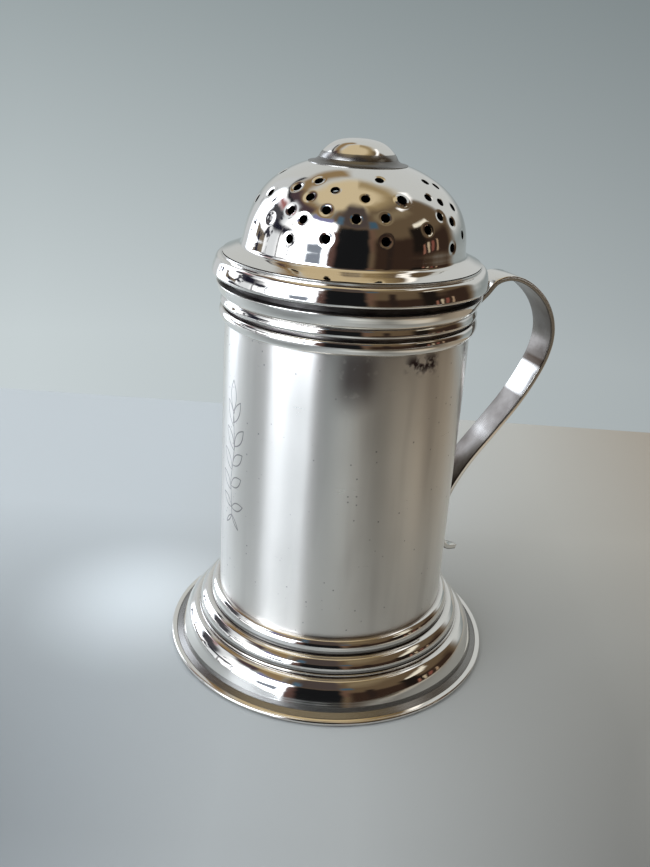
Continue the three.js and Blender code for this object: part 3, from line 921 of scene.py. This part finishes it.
# The collar's rings by their name and node, and their outside as steps outwards from the drum's
# mouth and upwards from it: the lowest reed, the small reed, and a band that swells to its top,
# with a deep recess left over it.
COLLAR_RINGS = [
    ("lower_reed", "collar_reed_lower", [
        (0.2, -7.45), (0.6, -7.29), (0.92, -6.89), (1.1, -6.39), (1.12, -6.04), (1.02, -5.59),
        (0.85, -5.29), (0.6, -5.14), (0.4, -5.09),
    ]),
    ("upper_reed", "collar_reed_upper", [
        (0.5, -4.56), (0.75, -4.58), (0.9, -4.44), (0.93, -4.12), (0.83, -3.84), (0.68, -3.49),
        (0.5, -3.23),
    ]),
    ("collar_band", "collar_moulding", [
        (0.4, -3.19), (0.65, -3.17), (0.85, -2.99), (1.05, -2.74), (1.22, -2.46), (1.35, -2.19),
        (1.47, -1.8), (1.53, -1.59), (1.58, -1.22), (1.56, -1.06), (1.5, -1.01),
    ]),
]


class CASTER_OT_collar(bpy.types.Operator):
    """Turn the two reeds and the band of the collar"""

    bl_idname = "caster.collar"
    bl_label = "Collar"

    def execute(self, context):
        prepare()
        bore = MOUTH_R - SOLDER_SINK
        for seed, (name, node, line) in enumerate(COLLAR_RINGS, 6):
            outside = curved(beside(MOUTH_R, MOUTH, line))
            top_r, top = outside[-1]
            section = softened(outside + [(bore, top), (bore, outside[0][1])], CREVICE_ROUNDING)
            # Each ring's top shelf lies under the ring or rim above, and is painted half dark as
            # shade.
            shelf = [([(bore, top), (top_r - 2 * FLAG_REACH, top)], RECESS_PAINTED_SHADE)]
            turned(name, node, "polished_silver", section, seed=float(seed), dull_and_shaded=shelf)
        return {"FINISHED"}


# Cover.
# The rim's outside and the dome's flare, as steps inwards from the rim's edge and upwards from its
# underside: a swelling that draws in to an upright step, then a knife-thin flare over a groove.
RIM_LINE = [
    (-0.25, 0.0), (-0.07, 0.09), (0.0, 0.31), (-0.06, 0.71), (-0.2, 1.26), (-0.4, 1.81),
    (-0.68, 2.45), (-0.95, 2.73), (-1.3, 2.81), (-1.6, 2.87),
]
FLARE_LINE = [
    (-1.7, 3.39), (-2.0, 3.51), (-2.5, 3.71), (-3.1, 3.96), (-3.7, 4.2), (-4.1, 4.36),
    (-4.4, 4.56), (-4.54, 4.84), (-4.62, 5.24), (-4.69, 5.69),
]
GROOVE_DEPTH = 0.5
RIM_SHEET = 0.75
BEZEL_WALL = 0.6
DOME_HEIGHT = 15.66
DOME_SHEET = 0.7
DOME_SQUARENESS = 2.65
DOME_SWAY = 0.45
DOME_STEPS = 96
INSIDE_STEPS = 32
DOME_SIDES = 400
CROWN_SWELL = 0.5
CROWN_SWELL_R = 10.2
CROWN_SWELL_POWER = 6
FLARE_WIDTH = 2.85
FLARE_HEIGHT = 2.6
DOME_R = FLARE_R - FLARE_WIDTH
DOME_LEVEL = CROWN - DOME_HEIGHT

# Where the dome is pierced, as an azimuth in degrees from the handle and a share of the dome's
# height. The rows are uneven because they were punched by eye, and go round twice.
PIERCING_RISE_SHARES = [
    (-57, 0.31), (-146, 0.35), (-198, 0.39), (-127, 0.395), (-42.5, 0.4), (-98.5, 0.405),
    (-162, 0.495), (-75, 0.5), (-141, 0.54), (-54, 0.545), (-63.5, 0.605), (-113.5, 0.585),
    (-150, 0.6), (-191, 0.605), (-98.5, 0.605), (-129.5, 0.64), (-44, 0.66), (-175, 0.7),
    (-56, 0.72), (-141.5, 0.73), (-87, 0.745), (-108.5, 0.755), (-65, 0.765), (-154.5, 0.79),
    (-127.5, 0.805), (-41, 0.835), (-197, 0.86), (-142, 0.86), (-50, 0.875), (-96, 0.895),
]
# Marks as (azimuth, rise, half turn): two that the punch didn't go through, and a hole whose burr
# stands out, with the shares of its dimple's depth and width and of its size.
BLIND_MARKS = [(-162, 0.495, 0), (-141, 0.54, 180)]
BURRED_HOLE = (-87, 0.745, 0)
BURRED_SHARES = (-2.6, 1.2, 1.15)
DIMPLE_WIDTH = 0.45
PUNCH_LENGTH = 3.2
PUNCH_SIDES = 28


def crown_swell(r):
    """How far the crown swells over the dome's even curve at a radius."""
    return CROWN_SWELL / (1 + (r / CROWN_SWELL_R) ** CROWN_SWELL_POWER)


def dome_point(quarter, thickness):
    """The dome's wall at a share of a quarter turn from its upright foot to its crown."""
    t = quarter * math.pi / 2
    power = 2 / DOME_SQUARENESS
    r = 0 if quarter == 1 else (DOME_R - thickness) * max(math.cos(t), 0) ** power
    return r, DOME_LEVEL + (DOME_HEIGHT - thickness) * math.sin(t) ** power + crown_swell(r)


def crown_at(r):
    """The height of the dome's outside at a radius near its crown."""
    share = (1 - (r / DOME_R) ** DOME_SQUARENESS) ** (1 / DOME_SQUARENESS)
    return DOME_LEVEL + DOME_HEIGHT * share + crown_swell(r)


def quarter_at(rise):
    """The share of the quarter turn at which the wall reaches a share of the dome's height."""
    return math.asin(rise ** (DOME_SQUARENESS / 2)) / (math.pi / 2)


def dome_section():
    """The dome's shell: its inside from the crown down, and its outside with its flared foot."""
    low = quarter_at((FLARE_LOW + FLARE_HEIGHT - DOME_LEVEL) / DOME_HEIGHT)
    outside, inside = (
        [dome_point(low + (1 - low) * i / steps, thickness) for i in range(steps + 1)]
        for steps, thickness in ((DOME_STEPS, 0), (INSIDE_STEPS, DOME_SHEET))
    )
    flare = curved(beside(RIM_R, RIM_LOW, FLARE_LINE) + [outside[0]])
    edge_r, edge_z = flare[0]
    rest = RIM_HIGH - SOLDER_SINK
    inside.insert(0, (DOME_R - DOME_SHEET, rest))
    groove = [(edge_r - GROOVE_DEPTH, rest), (edge_r - GROOVE_DEPTH, edge_z)]
    return inside[::-1], groove + flare[:-1] + outside


def swayed(place):
    """A place on the dome, moved as the hand-raised dome leans: most at half its height."""
    share = (place.z / MM - RIM_HIGH) / (CROWN - RIM_HIGH)
    lean = DOME_SWAY * MM * math.sin(math.pi * min(max(share, 0), 1))
    return place + FACING @ Vector((lean, 0, 0))


def punch_marks():
    """The places of the piercings on the dome, with the way out of the wall at each."""
    places, values = [], {}
    for azimuth, rise in PIERCING_RISE_SHARES:
        for half_turn in (0, 180):
            r, z = dome_point(quarter_at(rise), 0)
            out_r = (r / DOME_R) ** (DOME_SQUARENESS - 1) / DOME_R
            out_z = rise ** (DOME_SQUARENESS - 1) / DOME_HEIGHT
            angle = math.radians(azimuth + half_turn)
            flat = Vector((math.cos(angle), math.sin(angle), 0))
            places.append(swayed(AXIS + (flat * r + Vector((0, 0, z))) * MM))
            mark = (azimuth, rise, half_turn)
            depth, width, size = BURRED_SHARES if mark == BURRED_HOLE else (1.0, 1.0, 1.0)
            row = {"depth_share": depth, "width_share": width, "size_share": size}
            row["out"] = (flat * out_r + Vector((0, 0, out_z))).normalized()
            row["pierced"] = float(mark not in BLIND_MARKS)
            for label, value in row.items():
                values.setdefault(label, []).append(value)
    return chain("punch_marks", places, values)


class CASTER_OT_cover(bpy.types.Operator):
    """Turn the bezel and the rim, and raise and pierce the dome"""

    bl_idname = "caster.cover"
    bl_label = "Cover"

    def execute(self, context):
        prepare()
        self.turn_bezel(context.scene.caster_sizes.edge_rounding / MM)
        self.turn_rim()
        self.raise_dome(context.scene.caster_sizes)
        return {"FINISHED"}

    def turn_bezel(self, rounding):
        """The sleeve that fits in the drum's mouth."""
        bore = BEZEL_R - BEZEL_WALL
        sleeve = [(BEZEL_R, BEZEL_LOW), (BEZEL_R, BEZEL_HIGH)]
        sleeve += [(bore, BEZEL_HIGH), (bore, BEZEL_LOW)]
        # Its bore is unpolished, and painted near black as the shade inside the cover.
        turned(
            "bezel_sleeve",
            "cover_bezel",
            "drum_silver",
            softened(sleeve, rounding),
            seed=9.0,
            dull_and_shaded=[(sleeve[2:], 1.0)],
        )

    def turn_rim(self):
        """The hollow ovolo that covers the mouth."""
        bore, floor = BEZEL_R - BEZEL_WALL, RIM_LOW + RIM_SHEET
        outside = [(bore, RIM_LOW)] + curved(beside(RIM_R, RIM_LOW, RIM_LINE))
        step_r, step_low = outside[-1]
        inside = [
            (step_r, RIM_HIGH),
            (step_r - RIM_SHEET, RIM_HIGH),
            (step_r - RIM_SHEET, step_low - RIM_SHEET / 2),
            (step_r, step_low - RIM_SHEET),
            (RIM_R - 2 * RIM_SHEET, floor),
            (bore, floor),
        ]
        # The rim's underside is painted half dark as shade; its hollow inside is unpolished and
        # painted near black as shade.
        under = [(bore, RIM_LOW), (RIM_R - RIM_SHEET, RIM_LOW)]
        turned(
            "cover_ovolo",
            "cover_rim",
            "polished_silver",
            softened(outside + inside, CREVICE_ROUNDING),
            seed=10.0,
            dull_and_shaded=[(under, RECESS_PAINTED_SHADE), (inside[1:], 1.0)],
        )

    def raise_dome(self, sizes):
        """The dome, turned and swayed, and then pierced."""
        inside, outside = dome_section()
        # The dome's inside is unpolished, and painted near black as the shade inside it.
        dome = turned(
            "pierced_dome",
            None,
            "polished_silver",
            inside + outside,
            seed=11.0,
            uneven=1.6,
            dull_and_shaded=[(inside, 1.0)],
            sides=DOME_SIDES,
        )
        for vertex in dome.data.vertices:
            vertex.co = swayed(vertex.co)
        marks = punch_marks()
        values = {
            "Marks": marks,
            "Punch radius": sizes.punch_radius,
            "Dimple depth": sizes.dimple_depth,
            "Dimple width": DIMPLE_WIDTH * MM,
            "Punch length": PUNCH_LENGTH * MM,
            "Punch sides": PUNCH_SIDES,
            "Material": silver["polished_silver"],
        }
        apply_tree(dome, trees["punching"], values)
        bpy.data.objects.remove(marks)
        dome.data.set_sharp_from_angle(angle=SHARP_ANGLE)
        join_frame(dome, "cover_dome")


# Finial, as steps outwards from the axis and downwards from the top: a low bun whose side draws
# in to a cove, and the cove's disc. The bun's lower edge and the disc are painted darker than the
# bun's top, as shade in the cove under the bun.
BUN_LINE = [
    (0.0, 0.0), (1.6, -0.09), (3.0, -0.34), (4.0, -0.71), (4.75, -1.19), (5.35, -1.71),
    (5.78, -2.17), (6.08, -2.59), (6.3, -3.04),
]
DISC_LINE = [(6.3, -3.04), (6.65, -3.36), (7.1, -3.59), (7.6, -3.72), (7.95, -3.76)]
DISC_STEPS = 12
BUN_SHADE_FROM = 5.75
BUN_EDGE_SHADE = 0.7
DISC_SHADE = 0.8


class CASTER_OT_finial(bpy.types.Operator):
    """Turn the disc on the crown and the button on it"""

    bl_idname = "caster.finial"
    bl_label = "Finial"

    def execute(self, context):
        prepare()
        top = curved(beside(0, FINIAL_TOP, DISC_LINE))
        radii = [top[-1][0] * i / DISC_STEPS for i in range(DISC_STEPS + 1)]
        under = [(r, crown_at(r) - SOLDER_SINK) for r in radii]
        # The disc's top is painted darker, as shade in the cove under the bun.
        turned(
            "finial_disc",
            "finial_plate",
            "polished_silver",
            under + top[::-1] + [(0, top[0][1])],
            seed=12.0,
            uneven=0.4,
            dull_and_shaded=[(top, DISC_SHADE)],
        )
        bun = curved(beside(0, FINIAL_TOP, BUN_LINE))[::-1]
        edge, foot = bun[0][0], bun[0][1] - SOLDER_SINK
        turned(
            # The bun's lower edge is painted darker, as shade over the cove.
            "bun_finial",
            "finial_button",
            "polished_silver",
            [(0, foot), (edge / 2, foot), (edge, foot)] + bun,
            seed=13.0,
            dull_and_shaded=[([place for place in bun if place[0] > BUN_SHADE_FROM], BUN_EDGE_SHADE)],
        )
        return {"FINISHED"}


# Handle. Its upper end lies on the drum as (lift, length, width share), and its bow is given as
# shares of the way out and of the way up from its tail, with a width share.
STRAP_WIDTH = 6.2
STRAP_GAUGE = 0.9
STRAP_EDGE = 0.22
STRAP_EDGE_STEPS = 4
STRAP_STEPS = 8
STRAP_TOP_OVER_COLLAR = 0.05
STRAP_TAIL_OVER_FOOT = 2.35
UPPER_END_BELOW_COLLAR = 13.3
UPPER_END_LIFT = 0.8
UPPER_END_TAPER = 3.2
UPPER_END_SHARES = [(1, 0, 0.45), (0.25, 0.5, 0.95), (0, 1, 1)]
BOW_SHARES = [
    (0.21, 0.955, 1), (0.3, 0.988, 1), (0.43, 1, 1), (0.58, 0.99, 1), (0.74, 0.958, 1),
    (0.88, 0.91, 1), (0.97, 0.852, 1), (1, 0.794, 1), (0.975, 0.734, 1), (0.895, 0.666, 1),
    (0.73, 0.571, 1), (0.49, 0.465, 1), (0.23, 0.353, 1), (0.06, 0.25, 1), (0, 0.165, 0.96),
    (0, 0.112, 0.86), (0.045, 0.06, 0.72), (0.155, 0.018, 0.5), (0.3, 0, 0.12),
]

# A brown film on the strap's inner side, as a share of its length: partly tarnish, which no
# finger rubs bright, and partly a painted reflection of the brown room that the inner side
# mirrors. It is left off where the inner side shows a bright reflection.
STRAP_PAINTED_FILM = [
    (0.0, 0.8), (0.33, 0.9), (0.47, 0.9), (0.49, 0.92), (0.495, 1.0), (0.508, 0.97), (0.515, 0.0),
    (0.57, 0.0), (0.574, 0.97), (0.58, 0.86), (0.66, 0.9), (0.68, 0.7), (0.7, 0.95), (0.76, 1.0),
    (1.0, 1.0),
]


def painted_film_at(share):
    """How thick the brown film on the strap's inner side is at a share of its length: tarnish and
    painted reflection.
    """
    for (low, first), (high, second) in zip(STRAP_PAINTED_FILM, STRAP_PAINTED_FILM[1:]):
        if share <= high:
            return first + (second - first) * (share - low) / (high - low)
    return STRAP_PAINTED_FILM[-1][1]


def strap_line():
    """The strap's middle line as (out, height, width share), from its upper end to its tail."""
    seat = DRUM_R - SOLDER_SINK + STRAP_GAUGE / 2
    out = STRAP_REACH - STRAP_GAUGE / 2
    top = MOUTH + STRAP_TOP_OVER_COLLAR - STRAP_GAUGE / 2
    tail = FOOT_TOP + STRAP_TAIL_OVER_FOOT
    upper = REED_LOW - UPPER_END_BELOW_COLLAR
    line = [
        (seat + lift * UPPER_END_LIFT, upper + length * UPPER_END_TAPER, width)
        for lift, length, width in UPPER_END_SHARES
    ]
    line.append((seat, REED_LOW - UPPER_END_TAPER, 1))
    line.append((REED_R - SOLDER_SINK + STRAP_GAUGE / 2, (REED_LOW + REED_HIGH) / 2, 1))
    for reach, rise, width in BOW_SHARES:
        line.append((seat + reach * (out - seat), tail + rise * (top - tail), width))
    return line


class CASTER_OT_handle(bpy.types.Operator):
    """Forge the strap handle along its line"""

    bl_idname = "caster.handle"
    bl_label = "Handle"

    def execute(self, context):
        prepare()
        line = through(strap_line(), STRAP_STEPS)
        places = [AXIS + Vector((p.x, 0, p.y)) * MM for p in line]
        along = [0.0]
        for here, ahead in zip(line, line[1:]):
            along.append(along[-1] + (ahead - here).xy.length)
        # The strap's inner side carries the brown film, partly tarnish and partly a painted
        # reflection.
        values = {
            "width_share": [min(p.z, 1.0) for p in line],
            "along": along,
            "tarnish": [painted_film_at(length / along[-1]) for length in along],
        }
        strap = chain("strap_handle", places, values)
        values = {
            "Width": STRAP_WIDTH * MM,
            "Gauge": STRAP_GAUGE * MM,
            "Edge rounding": STRAP_EDGE * MM,
            "Edge steps": STRAP_EDGE_STEPS,
            "Material": silver["strap_silver"],
        }
        outward(apply_tree(strap, trees["strap"], values))
        join_frame(strap, "handle_strap")
        return {"FINISHED"}


# Stage. The table's tones are painted light and shade, by places in mm: pale at the left, where
# more light falls, darker to the right, and darker near the camera as painted shade.
TABLE_EDGE = 116 * MM
TABLE_REACH = 0.6
TABLE_SHADE_SIDES = (-45, 50)
TABLE_WARM_SHADE_SIDE = (50, 110)
TABLE_NEAR_SHADE = (-56, 40)
TABLE_NEAR_MIDDLE = -9
TABLE_NEAR_SIDES = (10, 55)
TABLE_NEAR_SHARES = (0.78, 0.38)
TABLE_ROUGHNESS = 0.5
TABLE_SHEEN = 0.2
# Pools of light painted on the table, as their place and reach in mm and their brightness: one
# beside the foot, and two outside the camera's view that the drum mirrors.
TABLE_PAINTED_LIGHTS = [
    ((-37, 3), (0, 28), 1.6),
    ((104, -58), (20, 61), 3.4),
    ((36, -114), (14, 56), 2.0),
]

# The tones that the silver mirrors are soft patches of the world, as their azimuth from the
# camera's side and their elevation in degrees, half their size, the softness of their edges, their
# colour and their strength. A later one lies over an earlier one.
ROOM_PATCHES = [
    ("ceiling", (0, 90), (400, 33), 6, "#CDBD9C", 1.0),
    ("ceiling shade", (100, 68), (80, 7), 5, "#9C8A68", 1.0),
    ("back left", (-180, 34), (64, 28), 7, "#C6CACB", 1.0),
    ("back right", (180, 34), (64, 28), 7, "#C6CACB", 1.0),
    ("golden band", (-105, 51), (70, 6), 4, "#8E7858", 1.0),
    ("purple band", (-92, 46), (30, 6), 4, "#4A3C42", 1.0),
    ("window side", (-141, 14), (11, 26), 4, "#C9CED3", 1.0),
    ("brown base", (42, 26), (76, 34), 6, "#6A5A48", 1.0),
    ("window", (-77, 15), (55, 24), 3, "#F4F8FF", 1.5),
    ("left pane", (-122, 14), (12, 22), 4, "#E6F0FF", 4.2),
    ("window shade", (-92, 14), (9, 30), 5, "#E4EAF2", 1.0),
    ("bright pane", (-47, 18), (22, 20), 5, "#EAF3FF", 7.0),
    ("window head", (-125, 41.5), (26, 1.6), 1.5, "#26242C", 1.0),
    ("dark leaf", (-103, 24), (13, 8), 4, "#4A4A50", 1.0),
    ("low leaf", (-84, 16), (14, 3.5), 2, "#1E1E2C", 1.0),
    ("red leaf", (-108, 34), (9, 3), 3, "#A56D6D", 1.0),
    ("blue blotch", (-44, 42), (14, 3), 2, "#7E7EA6", 1.0),
    ("grey block", (-112, 4.5), (9, 3), 1, "#7D7468", 1.0),
    ("low bar", (-92, -1.5), (22, 2.4), 1.2, "#2A2A36", 1.0),
    ("left upright", (-82, 8), (0.8, 12), 0.6, "#6A6A70", 1.0),
    ("right upright", (-69, 10), (0.8, 14), 0.6, "#7A7A80", 1.0),
    ("blue pane", (-40, 9), (9, 6), 3, "#87909F", 1.0),
    ("front fade", (-3, 55), (21, 18), 7, "#4A4240", 1.0),
    ("front left", (-21, 14), (6, 16), 2.5, "#5E4742", 1.0),
    ("front right", (20, 22), (6, 14), 4, "#6A5044", 1.0),
    ("brown right", (68, 32), (48, 34), 8, "#5F503E", 1.0),
    ("brown low", (66, 8), (46, 13), 5, "#33261F", 1.0),
    ("olive band", (55, 53), (30, 5), 5, "#7D6F58", 1.0),
    ("dark front", (-2, 15), (17, 21), 3, "#17181A", 1.0),
    ("blue left", (-22, 45), (4, 6), 2.5, "#4A6478", 1.0),
    ("blue right", (21, 42), (5, 5), 2.5, "#3F586A", 1.0),
    ("dark doorway", (70, 17), (8, 15), 4, "#1C1714", 1.0),
    ("dark streak", (36, 15), (3, 15), 2.5, "#2A211D", 1.0),
    ("first bar", (74, 5), (1.2, 5), 0.8, "#8A5F50", 1.0),
    ("second bar", (79, 5), (1.2, 5), 0.8, "#B8A890", 1.0),
    ("third bar", (84, 5), (1.6, 5), 0.8, "#7A4A40", 1.0),
    ("fourth bar", (91, 5), (1.2, 6), 0.8, "#A08870", 1.0),
    ("pale glint", (81, 34), (11, 2.2), 1.5, "#E6E1D2", 1.1),
    ("white streak", (105, 57), (30, 2.6), 2, "#F5F5F5", 1.4),
    ("low streak", (64, -6), (14, 1), 0.7, "#FFFFFF", 1.0),
]

# Leaves before the window, as a patch that noise breaks up.
ROOM_LEAVES = ((-106, 10), (32, 22), 8, "#2F2F3C")
LEAF_NOISE = (0.57, 0.62)
LEAVES = {"Scale": 9.0, "Detail": 3.0}

# The patches' edges are bent by up to so many degrees, so that none looks ruled.
PATCH_BEND = 7.0
BENDS = {"Scale": 4.0, "Detail": 3.0}

# What lights the table is the same from all sides, so that its colour renders as it is written.
SOFT_LIGHT = "#F4F6F8"

# The lamp stands where the bright side of the room is, and only lights what isn't a mirror.
LAMP_PLACE = (-520, -60, 330)
LAMP_SIZE = 0.6
LAMP_WATTS = 1.5
LAMP_COLOUR = "#F3F7FF"

# The backdrop's tone over its height and across, as directions seen from the caster: it is
# painted darker upwards and towards the right, as shade.
WALL_ELEVATIONS = (-16, 6)
WALL_SIDES = (-0.34, 0.38)
WALL_RIGHT_SHADE_SHARE = 0.66


def camera_axes():
    """The camera's right, up and forward, in the frame."""
    level = math.cos(CAMERA_PITCH)
    aside, away = math.sin(CAMERA_YAW) * level, math.cos(CAMERA_YAW) * level
    ahead = Vector((aside, away, -math.sin(CAMERA_PITCH)))
    right = ahead.cross(Vector((0, 0, 1))).normalized()
    up = right.cross(ahead)
    cos, sin = math.cos(CAMERA_ROLL), math.sin(CAMERA_ROLL)
    return FACING @ (right * cos + up * sin), FACING @ (up * cos - right * sin), FACING @ ahead


class CASTER_OT_stage(bpy.types.Operator):
    """Set the table, the room tones, the lamp and the photograph's camera"""

    bl_idname = "caster.stage"
    bl_label = "Stage"

    def execute(self, context):
        colours = context.scene.caster_colours
        self.make_table(context.scene, colours)
        self.make_world(context.scene, colours)
        self.make_lamp(context.scene)
        self.make_camera(context.scene)
        context.scene.view_settings.view_transform = "Standard"
        return {"FINISHED"}

    def make_table(self, scene, colours):
        """The table's top, up to its far edge."""
        corners = [(-TABLE_REACH, TABLE_EDGE), (-TABLE_REACH, -TABLE_REACH)]
        corners += [(TABLE_REACH, -TABLE_REACH), (TABLE_REACH, TABLE_EDGE)]
        mesh = bpy.data.meshes.new("table_top")
        points = [AXIS + FACING @ Vector((x, y, 0)) for x, y in corners]
        mesh.from_pydata(points, [], [(0, 1, 2, 3)])
        table = bpy.data.objects.new("table_top", mesh)
        scene.collection.objects.link(table)
        mesh.materials.append(self.table_material(colours))

    def table_material(self, colours):
        """A board with paint brushed on is matt and smooth: it gives the eye its own colour with
        a weak, broad sheen, and mirrors nothing. Light and shade are painted into that colour: it
        darkens to the right and near the camera as painted shade, and brightens in painted pools
        of light."""
        material = bpy.data.materials.new("Painted board, brushed on")
        material.use_nodes = True
        tree = material.node_tree
        tree.nodes.clear()
        add = partial(add_node, tree)
        where = add("ShaderNodeTexCoord", out="Object")
        side, depth = (
            add(DOT, (where, FACING @ Vector(way)), out=1)
            for way in ((1 / MM, 0, 0), (0, 1 / MM, 0))
        )
        tone = linear(colours.table)
        # Painted shade: the tone darkens towards the right.
        for reach, colour in (
            (TABLE_SHADE_SIDES, colours.table_right_shaded),
            (TABLE_WARM_SHADE_SIDE, colours.table_warm_shaded),
        ):
            share = add(RANGE, (side, *reach, 0.0, 1.0))
            tone = add(MIX, {0: share, 6: tone, 7: linear(colour)}, out=2)
        # Painted shade near the camera, deepest towards its sides.
        near = add(RANGE, (depth, *TABLE_NEAR_SHADE, 1.0, 0.0))
        aside = add(UNSIGNED, (add(MINUS, (side, TABLE_NEAR_MIDDLE)),))
        dim = add(RANGE, (aside, *TABLE_NEAR_SIDES, *TABLE_NEAR_SHARES))
        share = add(PLUS, (add(TIMES, (add(MINUS, (dim, 1.0)), near)), 1.0))
        # Painted pools of light brighten the table's colour.
        for place, reach, strength in TABLE_PAINTED_LIGHTS:
            spot = AXIS + FACING @ Vector((*place, 0)) * MM
            away = add(DISTANCE, (where, spot), out=1)
            reach = [r * MM for r in reach]
            share = add(TIMES, (share, add(SMOOTH_RANGE, (away, *reach, strength, 1.0))))
        surface = {"Base Color": add(SCALED, {0: tone, "Scale": share})}
        surface.update({"Roughness": TABLE_ROUGHNESS, "Specular IOR Level": TABLE_SHEEN})
        shader = add("ShaderNodeBsdfPrincipled", surface)
        add("ShaderNodeOutputMaterial", {"Surface": shader}, out=None)
        return material

    def make_world(self, scene, colours):
        """The backdrop for the camera, the room's patches for what mirrors, and a plain light."""
        world = bpy.data.worlds.new("Room tones")
        world.use_nodes = True
        scene.world = world
        tree = world.node_tree
        tree.nodes.clear()
        add = partial(add_node, tree)
        way = {"Vector": add("ShaderNodeTexCoord", out="Generated")}
        way = add(ABOUT_Z, {**way, "Angle": math.pi / 2 - HANDLE_TURN})
        x, y, z = add(SPLIT, (way,), out=None)
        azimuth = add(DEGREES, (add(BEARING, (y, x)),))
        elevation = add(DEGREES, (add(MATH, (z,), operation="ARCSINE"),))
        waves = add(NOISE, {"Vector": way, **BENDS}, out="Color")
        waves = add(SPLIT_COLOUR, (waves,), out=None)
        bent = []
        for angle, bend in zip((azimuth, elevation), waves):
            bend = add(TIMES, (add(MINUS, (bend, NOISE_MIDDLE)), PATCH_BEND))
            bent.append(add(PLUS, (angle, bend)))
        # Painted shade on the backdrop: darker upwards and towards the right.
        height = add(RANGE, (elevation, *WALL_ELEVATIONS, 0.0, 1.0))
        across = add(RANGE, (y, *WALL_SIDES, 1.0, WALL_RIGHT_SHADE_SHARE))
        wall = {0: height, 6: linear(colours.wall), 7: linear(colours.wall_top_shaded)}
        wall = add(SCALED, {0: add(MIX, wall, out=2), "Scale": across})
        room = wall
        for _, centre, half, soft, colour, strength in ROOM_PATCHES:
            mask = patch(tree, 1.0, bent, centre, half, (soft, soft))
            tone = [c * strength for c in linear(colour)[:3]] + [1.0]
            room = add(MIX, {0: mask, 6: room, 7: tone}, out=2)
        centre, half, soft, colour = ROOM_LEAVES
        leaves = add(NOISE, {"Vector": way, **LEAVES})
        leaves = add(RANGE, (leaves, *LEAF_NOISE, 0.0, 1.0))
        mask = patch(tree, leaves, bent, centre, half, (soft, soft))
        room = add(MIX, {0: mask, 6: room, 7: linear(colour)}, out=2)
        rays = add("ShaderNodeLightPath", out=None)
        tone = add(MIX, {0: rays["Is Camera Ray"], 6: room, 7: wall}, out=2)
        light = {0: rays["Is Diffuse Ray"], 6: tone, 7: linear(SOFT_LIGHT)}
        light = {"Color": add(MIX, light, out=2), "Strength": 1.0}
        light = add("ShaderNodeBackground", light)
        add("ShaderNodeOutputWorld", {"Surface": light}, out=None)

    def make_lamp(self, scene):
        """A weak lamp for the shadow beside the caster."""
        data = bpy.data.lights.new("side_lamp", "AREA")
        data.size = LAMP_SIZE
        data.energy = LAMP_WATTS
        data.color = linear(LAMP_COLOUR)[:3]
        lamp = bpy.data.objects.new("side_lamp", data)
        place = FACING @ Vector(LAMP_PLACE) * MM
        aim = place.to_track_quat("Z", "Y").to_matrix().to_4x4()
        lamp.matrix_world = Matrix.Translation(AXIS + place) @ aim
        lamp.visible_glossy = False
        scene.collection.objects.link(lamp)

    def make_camera(self, scene):
        """The camera that took the photograph, by the fit to its circles."""
        right, up, ahead = camera_axes()
        place = AXIS + FACING @ Vector((0, -CAMERA_DISTANCE, CAMERA_HEIGHT))
        data = bpy.data.cameras.new("photo_camera")
        data.sensor_width = SENSOR_MM
        data.lens = FOCAL_PIXELS / PHOTO_HEIGHT * SENSOR_MM
        data.clip_start = 5 * MM
        camera = bpy.data.objects.new("photo_camera", data)
        columns = Matrix((right, up, -ahead)).transposed()
        camera.matrix_world = Matrix.Translation(place) @ columns.to_4x4()
        scene.collection.objects.link(camera)
        scene.camera = camera


class CASTER_PT_panel(bpy.types.Panel):
    """Lists the caster's sizes, colours and operators"""

    bl_label = "Pepper caster"
    bl_idname = "CASTER_PT_panel"
    bl_space_type = "VIEW_3D"
    bl_region_type = "UI"
    bl_category = "Caster"

    def draw(self, context):
        layout = self.layout
        for group in (context.scene.caster_sizes, context.scene.caster_colours):
            for name in group.__annotations__:
                layout.prop(group, name)
        for operator in OPERATORS:
            layout.operator(operator.bl_idname)


OPERATORS = (
    CASTER_OT_stage,
    CASTER_OT_drum,
    CASTER_OT_foot,
    CASTER_OT_collar,
    CASTER_OT_handle,
    CASTER_OT_cover,
    CASTER_OT_finial,
)
CLASSES = (CasterSizes, CasterColours, *OPERATORS, CASTER_PT_panel)


def register():
    """Adds the classes and their settings to the scene."""
    for item in CLASSES:
        bpy.utils.register_class(item)
    bpy.types.Scene.caster_sizes = bpy.props.PointerProperty(type=CasterSizes)
    bpy.types.Scene.caster_colours = bpy.props.PointerProperty(type=CasterColours)


def unregister():
    """Takes the classes and their settings away again."""
    del bpy.types.Scene.caster_sizes
    del bpy.types.Scene.caster_colours
    for item in reversed(CLASSES):
        bpy.utils.unregister_class(item)


def main():
    """Builds the caster."""
    register()
    bpy.ops.caster.stage()
    bpy.ops.caster.drum()
    bpy.ops.caster.foot()
    bpy.ops.caster.collar()
    bpy.ops.caster.handle()
    bpy.ops.caster.cover()
    bpy.ops.caster.finial()


if __name__ == "__main__":
    main()
